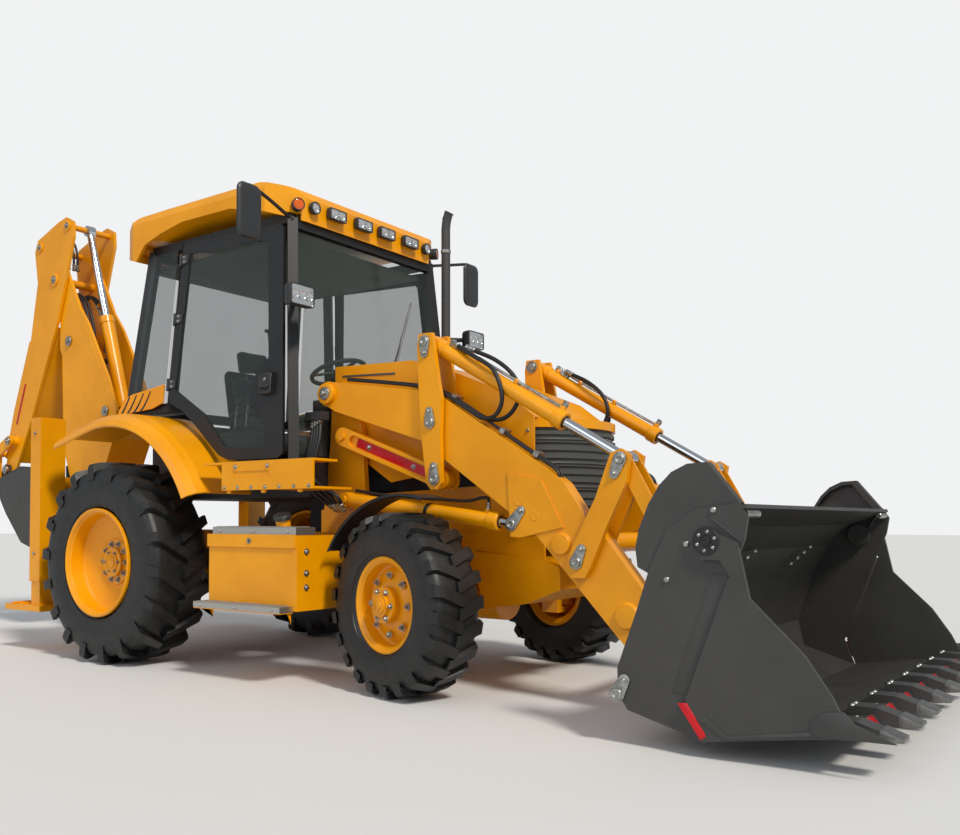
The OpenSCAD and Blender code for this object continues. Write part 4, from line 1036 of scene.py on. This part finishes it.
def makeJawHub():
    piece = Piece()
    (x, z), y = hubSet["pivot"], hubSet["face"]
    for piece.side in (-1, 1):
        piece.turned((x, y, z), [(56, -3), (56, 2), (53, 4), (24, 4), (22, 1), (18, 1), (18, 5), (15, 6), (9, 6),
                                 (8, 2), (0, 2)], 40)
        for k in range(hubSet["bolts"]):
            t = math.radians(hubSet["firstBolt"] + 360 / hubSet["bolts"] * k)
            piece.dome((x + hubSet["boltCircle"] * math.cos(t), y + 2, z + hubSet["boltCircle"] * math.sin(t)), 8)
        piece.plate([(4060, 209), (4101, 213), (4181, 92), (4157, 72)], y, y + 2, 2)
    piece.plate([(4262, 92), (4330, 103), (4329.5, 105.5), (4261.5, 94.5)], -1168, 1168, 2)
    piece.finish("jawHubs", [coatBlack, zincSteel, enamelRed], "jaw_body", "shovel_charcoal", bevel=0.5)


makeJawHub()
print("jaw hubs made")

# hood, grille and the hoses in front of the cab
hoodSet = {"side": 430.4, "grilleX": 2640, "grilleRadius": 466, "bars": (1118, 1247, 1376)}


def makeHoodFittings():
    piece = Piece()
    y = hoodSet["side"]
    for piece.side in (-1, 1):
        # side slot, seam and latches
        piece.plate([(1500, 1836), (1930, 1818), (1930, 1806), (1500, 1824)], y, y + 3, 1)
        piece.plate([(2040, 1640), (2400, 1560), (2400, 1548), (2040, 1628)], y, y + 2, 1)
        for x, z in ((1600, 1640), (2330, 1470)):
            piece.rings(piece.facing((x, 430, z), (0, 1, 0)), [(26, 18, 7, 0), (26, 18, 7, 6), (22, 14, 5, 9),
                                                               (12, 6, 3, 9), (11, 5, 3, 5)], 2, False)
        # grey upright tube at the grille's rear edge
        piece.tube([(2868, 405, 1440), (2872, 410, 1300), (2872, 410, 1100), (2868, 405, 1010)], 16, 6, 16, 3)
        for z in (1420, 1030):
            piece.bolt((2868, 424, z), 18, 4)
    r = hoodSet["grilleRadius"]
    for z in hoodSet["bars"]:
        # wider bars among the grille's ribs
        piece.tube([(hoodSet["grilleX"] + r * math.cos(a), r * math.sin(a), z)
                    for a in (math.radians(-56 + 7 * i) for i in range(17))], 6, 0, 8, 1)
    piece.finish("hoodFittings", [enamelYellow, grilleBlack, housingPlastic, coatGrey, zincSteel], "machine",
                 "machine_yellow", 35, 0.6)

    # hose bundle and steel lines in front of the cab, right-hand side and left
    piece = Piece()
    for piece.side in (-1, 1):
        for k in range(4):
            x = 1455 + 22 * k
            piece.hose([(x, 640, 1520 + 12 * k), (x + 20, 672, 1420), (x + 8, 700, 1290), (x - 10, 690, 1180),
                        (x + 60 + 30 * k, 660, 1080), (x + 150, 610, 1010)], 13)
        piece.box((-60, -30, -20), (80, 30, 30), Matrix.Translation(piece.spot((1480, 640, 1560))), 2)
    piece.finish("frontHoses", [rubberHose, zincSteel, ironPaint], "machine", "iron_dark", 40)


makeHoodFittings()
print("hood fittings made")

# black arcs on the yellow quarter panel, headliner and windscreen wiper
trimSet = {"arcs": 4, "arcStep": (78, 7), "arcFoot": (-262, 1662), "arcSize": (96, 128), "proud": 10.2,
           "linerX": 530}


def makeCabTrim():
    piece = Piece()
    (stepX, stepZ), (footX, footZ), (wide, high) = trimSet["arcStep"], trimSet["arcFoot"], trimSet["arcSize"]
    for piece.side in (-1, 1):
        for k in range(trimSet["arcs"]):
            # slanted arc, thicker towards its foot
            lower = [(footX + stepX * k + wide * u, footZ + stepZ * k + high * u ** 1.5)
                     for u in (i / 8 for i in range(9))]
            outline = lower + [(x - 22 + 10 * (z - footZ) / high, z + 3) for x, z in reversed(lower)]
            piece.plate(outline, trimSet["proud"], trimSet["proud"] + 1, 0, lambda u, v, w: leaning(u, w, v))
    piece.finish("quarterStripes", [coatBlack], "machine", "cab_black", 35)

    # headliner under the roof, with its rolled edge
    piece = Piece()
    x = trimSet["linerX"]
    piece.rings(piece.facing((x, 0, 2690), upward), [(730, 640, 60, 0), (736, 646, 64, 4), (736, 646, 64, 9)])
    piece.rings(piece.facing((x, 0, 2676), upward), [(430, 420, 50, 4), (520, 480, 60, 14)])
    piece.finish("headliner", [feltHeadliner], "machine", "interior_plastic", 40)

    # windscreen wiper with its motor boss, arm and blade
    piece = Piece()
    piece.turned((1452, -40, 1700), [(24, -14), (24, 6), (14, 12), (0, 12)], 24, 0, (0.98, 0, 0.09))
    piece.tube([(1466, -40, 1700), (1462, 60, 1880), (1447, 170, 2090), (1437, 215, 2190)], 6, 5, 8)
    piece.tube([(1460, 95, 1900), (1443, 210, 2170), (1426, 325, 2440)], 8, 5, 6)
    piece.finish("windscreenWiper", [housingPlastic], "machine", "lamp_black", 35)


makeCabTrim()
print("cab trim made")

# seat: a pad is its centre, half sizes and tilt; voxel and cap in metres
seatSet = {"pads": {"seatCushion": ((515, 0, 1462), (240, 232, 42), 0),
                    "seatBack": ((235, 0, 1760), (225, 225, 40), 80),
                    "headRest": ((178, 0, 2090), (78, 130, 36), 80)},
           "voxel": 0.008, "pressure": 4.0, "cap": 0.024, "frames": 20, "fill": 0.7, "x": 515,
           "channels": (-0.33, 0.33), "channelDepth": 7, "channelWidth": 9}


def inflate(obj):
    # cushion swollen by cloth pressure, then each point held to within the cap
    remesh = obj.modifiers.new("remesh", "REMESH")
    remesh.mode = "VOXEL"
    remesh.voxel_size = seatSet["voxel"]
    applyModifiers(obj)
    start = [v.co.copy() for v in obj.data.vertices]
    cloth = obj.modifiers.new("cloth", "CLOTH")
    cloth.settings.use_pressure = True
    cloth.settings.uniform_pressure_force = seatSet["pressure"]
    cloth.settings.effector_weights.gravity = 0
    for f in range(1, seatSet["frames"] + 1):
        bpy.context.scene.frame_set(f)
    applyModifiers(obj)
    for v, old in zip(obj.data.vertices, start):
        move = v.co - old
        if move.length > seatSet["cap"]:
            v.co = old + move.normalized() * seatSet["cap"]
    bpy.context.scene.frame_set(1)


def pressChannels(mesh, m, half):
    # two sewn channels, pressed in after the remesh
    inv = m.inverted()
    for v in mesh.vertices:
        p = inv @ v.co
        if abs(p.z) > 0.3 * half[2] / 1000:
            for line in seatSet["channels"]:
                off = p.x * 1000 - line * half[0] * 1.2
                dip = seatSet["channelDepth"] * math.exp(-(off / seatSet["channelWidth"]) ** 2)
                p.z -= math.copysign(dip / 1000, p.z)
        v.co = m @ p


def makeCushions():
    for name, (centre, half, tilt) in seatSet["pads"].items():
        m = tilted(at(*centre), tilt)
        w, d, h = half
        # pillow with pulled-in sides
        pad = Piece()
        pad.rings(m, [(w * a, d * a, min(w, d) * c, h * up) for a, c, up in ((0.9, 0.25, -1), (0.98, 0.28, -0.6),
                                                                             (1, 0.3, 0), (0.98, 0.28, 0.6),
                                                                             (0.88, 0.24, 1))])
        obj = bpy.data.objects.new(name, meshOf(pad.bm, name))
        bpy.context.collection.objects.link(obj)
        inflate(obj)
        mesh = obj.data
        bpy.data.objects.remove(obj)
        if name != "headRest":
            pressChannels(mesh, m, half)
        bm = bmesh.new()
        bm.from_mesh(mesh)
        cushion = finishPiece(name, meshOf(bm, name), [seatCloth], "machine", "seat_fabric", 80,
                              replaces="seat" if name == "seatCushion" else None)


def makeSeatFrame():
    # pan, suspension bellows, back shell, arm rests and head rest posts
    piece = Piece()
    x = seatSet["x"]
    piece.rings(piece.facing((x, 0, 1402), upward), [(236, 244, 60, 0), (242, 250, 62, 8), (242, 250, 62, 18)])
    for k in range(6):
        piece.rings(piece.facing((x, 0, 1150 + 40 * k), upward), [(150, 170, 30, 0), (172, 186, 34, 18),
                                                                  (150, 170, 30, 36)], 1)
    piece.rings(piece.facing((x, 0, 1130), upward), [(180, 185, 20, 0), (180, 185, 20, 20)])
    piece.rings(tilted(at(192, 0, 1765), 80), [(250, 236, 50, -14), (256, 242, 54, 0), (250, 236, 50, 6)])
    for piece.side in (-1, 1):
        piece.tube([(250, 262, 1650), (330, 280, 1682), (480, 284, 1688), (620, 284, 1680)], 26, 5, 16)
        piece.tube([(178, 60, 1960), (166, 60, 2040)], 7, 0, 10, 2)
    piece.finish("seatFrame", [consolePlastic, rubberHose, zincSteel], "machine", "interior_plastic", 40, 1.0)


makeCushions()
makeSeatFrame()
print("seat made")

# side consoles, levers, instrument hood and pedals in the cab
consoleSet = {"x": 560, "y": 420, "leverX": (480, 590), "pedalY": (-150, 150, 230)}


def makeCabInside():
    piece = Piece()
    y = consoleSet["y"]
    for piece.side in (-1, 1):
        piece.rings(piece.facing((consoleSet["x"], y, 1131), (0, 0.0001 * piece.side, 1)),
                    [(190, 70, 24, 0), (190, 70, 24, 380), (180, 60, 20, 400)])
        for x in consoleSet["leverX"]:
            path = piece.tube([(x, y, 1530), (x + 10, y, 1630), (x + 30, y, 1720)], 8, 4, 10, 1)
            piece.turned(path[-1], [(10, -6), (20, 6), (23, 26), (18, 44), (8, 52), (0, 53)], 20, 0, (0.1, 0, 1))
            piece.turned((x, y, 1530), [(34, 0), (30, 10), (22, 14), (20, 24), (12, 30), (10, 44)], 20, 2, (0, 0, 1))
    piece.rings(piece.facing((1290, 0, 1700), (-0.35, 0, 1)), [(60, 300, 20, 0), (66, 306, 24, 30), (56, 290, 24, 70)])
    for y in consoleSet["pedalY"]:
        piece.rings(piece.facing((1180, y, 1180), (-0.8, 0, 0.6)),
                    [(34, 44, 8, 0), (34, 44, 8, 10), (30, 40, 7, 14)], 2)
        piece.tube([(1190, y, 1185), (1260, y, 1240)], 10, 0, 8, 1)
    piece.finish("cabControls", [consolePlastic, zincSteel, rubberHose], "machine", "interior_plastic", 40, 0.8)


makeCabInside()
print("cab inside made")

# stage
stageSet = {"floor": "#DADAD8", "backdrop": "#F1F2F3", "size": 60.0, "below": 0.001, "world": "#E6ECF4", "power": 0.5,
            "suns": {"keySun": ((6.0, -2.4, 6.4), 2.6, 9.0, "#FFF8EE"),
                     "fillSun": ((-1.0, -9.0, 5.0), 0.55, 40.0, "#F2F6FF")}}


def makeStage():
    bm = bmesh.new()
    h = stageSet["size"]
    bm.faces.new([bm.verts.new(p) for p in ((-h, -h, 0), (h, -h, 0), (h, h, 0), (-h, h, 0))])
    mesh = meshOf(bm, "studioFloor")
    floor = bpy.data.objects.new("studioFloor", mesh)
    bpy.context.collection.objects.link(floor)
    mesh.materials.append(finishOf("paleFloor", stageSet["floor"], 0.75))
    floor.location.z = -stageSet["below"]


def makeWorld():
    world = bpy.data.worlds.new("studioWorld")
    bpy.context.scene.world = world
    world.use_nodes = True
    tree = world.node_tree
    tree.nodes.clear()
    path = addNode(tree, "ShaderNodeLightPath")
    light = addNode(tree, "ShaderNodeBackground", {"Color": linear(stageSet["world"]), "Strength": stageSet["power"]})
    seen = addNode(tree, "ShaderNodeBackground", {"Color": linear(stageSet["backdrop"]), "Strength": 1.0})
    either = addNode(tree, "ShaderNodeMath", {"operation": "MAXIMUM"})
    tree.links.new(path.outputs["Is Camera Ray"], either.inputs[0])
    tree.links.new(path.outputs["Is Transmission Ray"], either.inputs[1])
    mix = addNode(tree, "ShaderNodeMixShader", links={"Fac": either.outputs[0]})
    tree.links.new(light.outputs[0], mix.inputs[1])
    tree.links.new(seen.outputs[0], mix.inputs[2])
    addNode(tree, "ShaderNodeOutputWorld", links={"Surface": mix.outputs[0]})


def addSuns():
    for name, (place, power, angle, colour) in stageSet["suns"].items():
        data = bpy.data.lights.new(name, "SUN")
        data.energy = power
        data.angle = math.radians(angle)
        data.color = linear(colour)[:3]
        lamp = bpy.data.objects.new(name, data)
        lamp.location = place
        lamp.rotation_euler = (-Vector(place)).to_track_quat("-Z", "Y").to_euler()
        bpy.context.collection.objects.link(lamp)


makeStage()
makeWorld()
addSuns()
print("stage and lamps made")
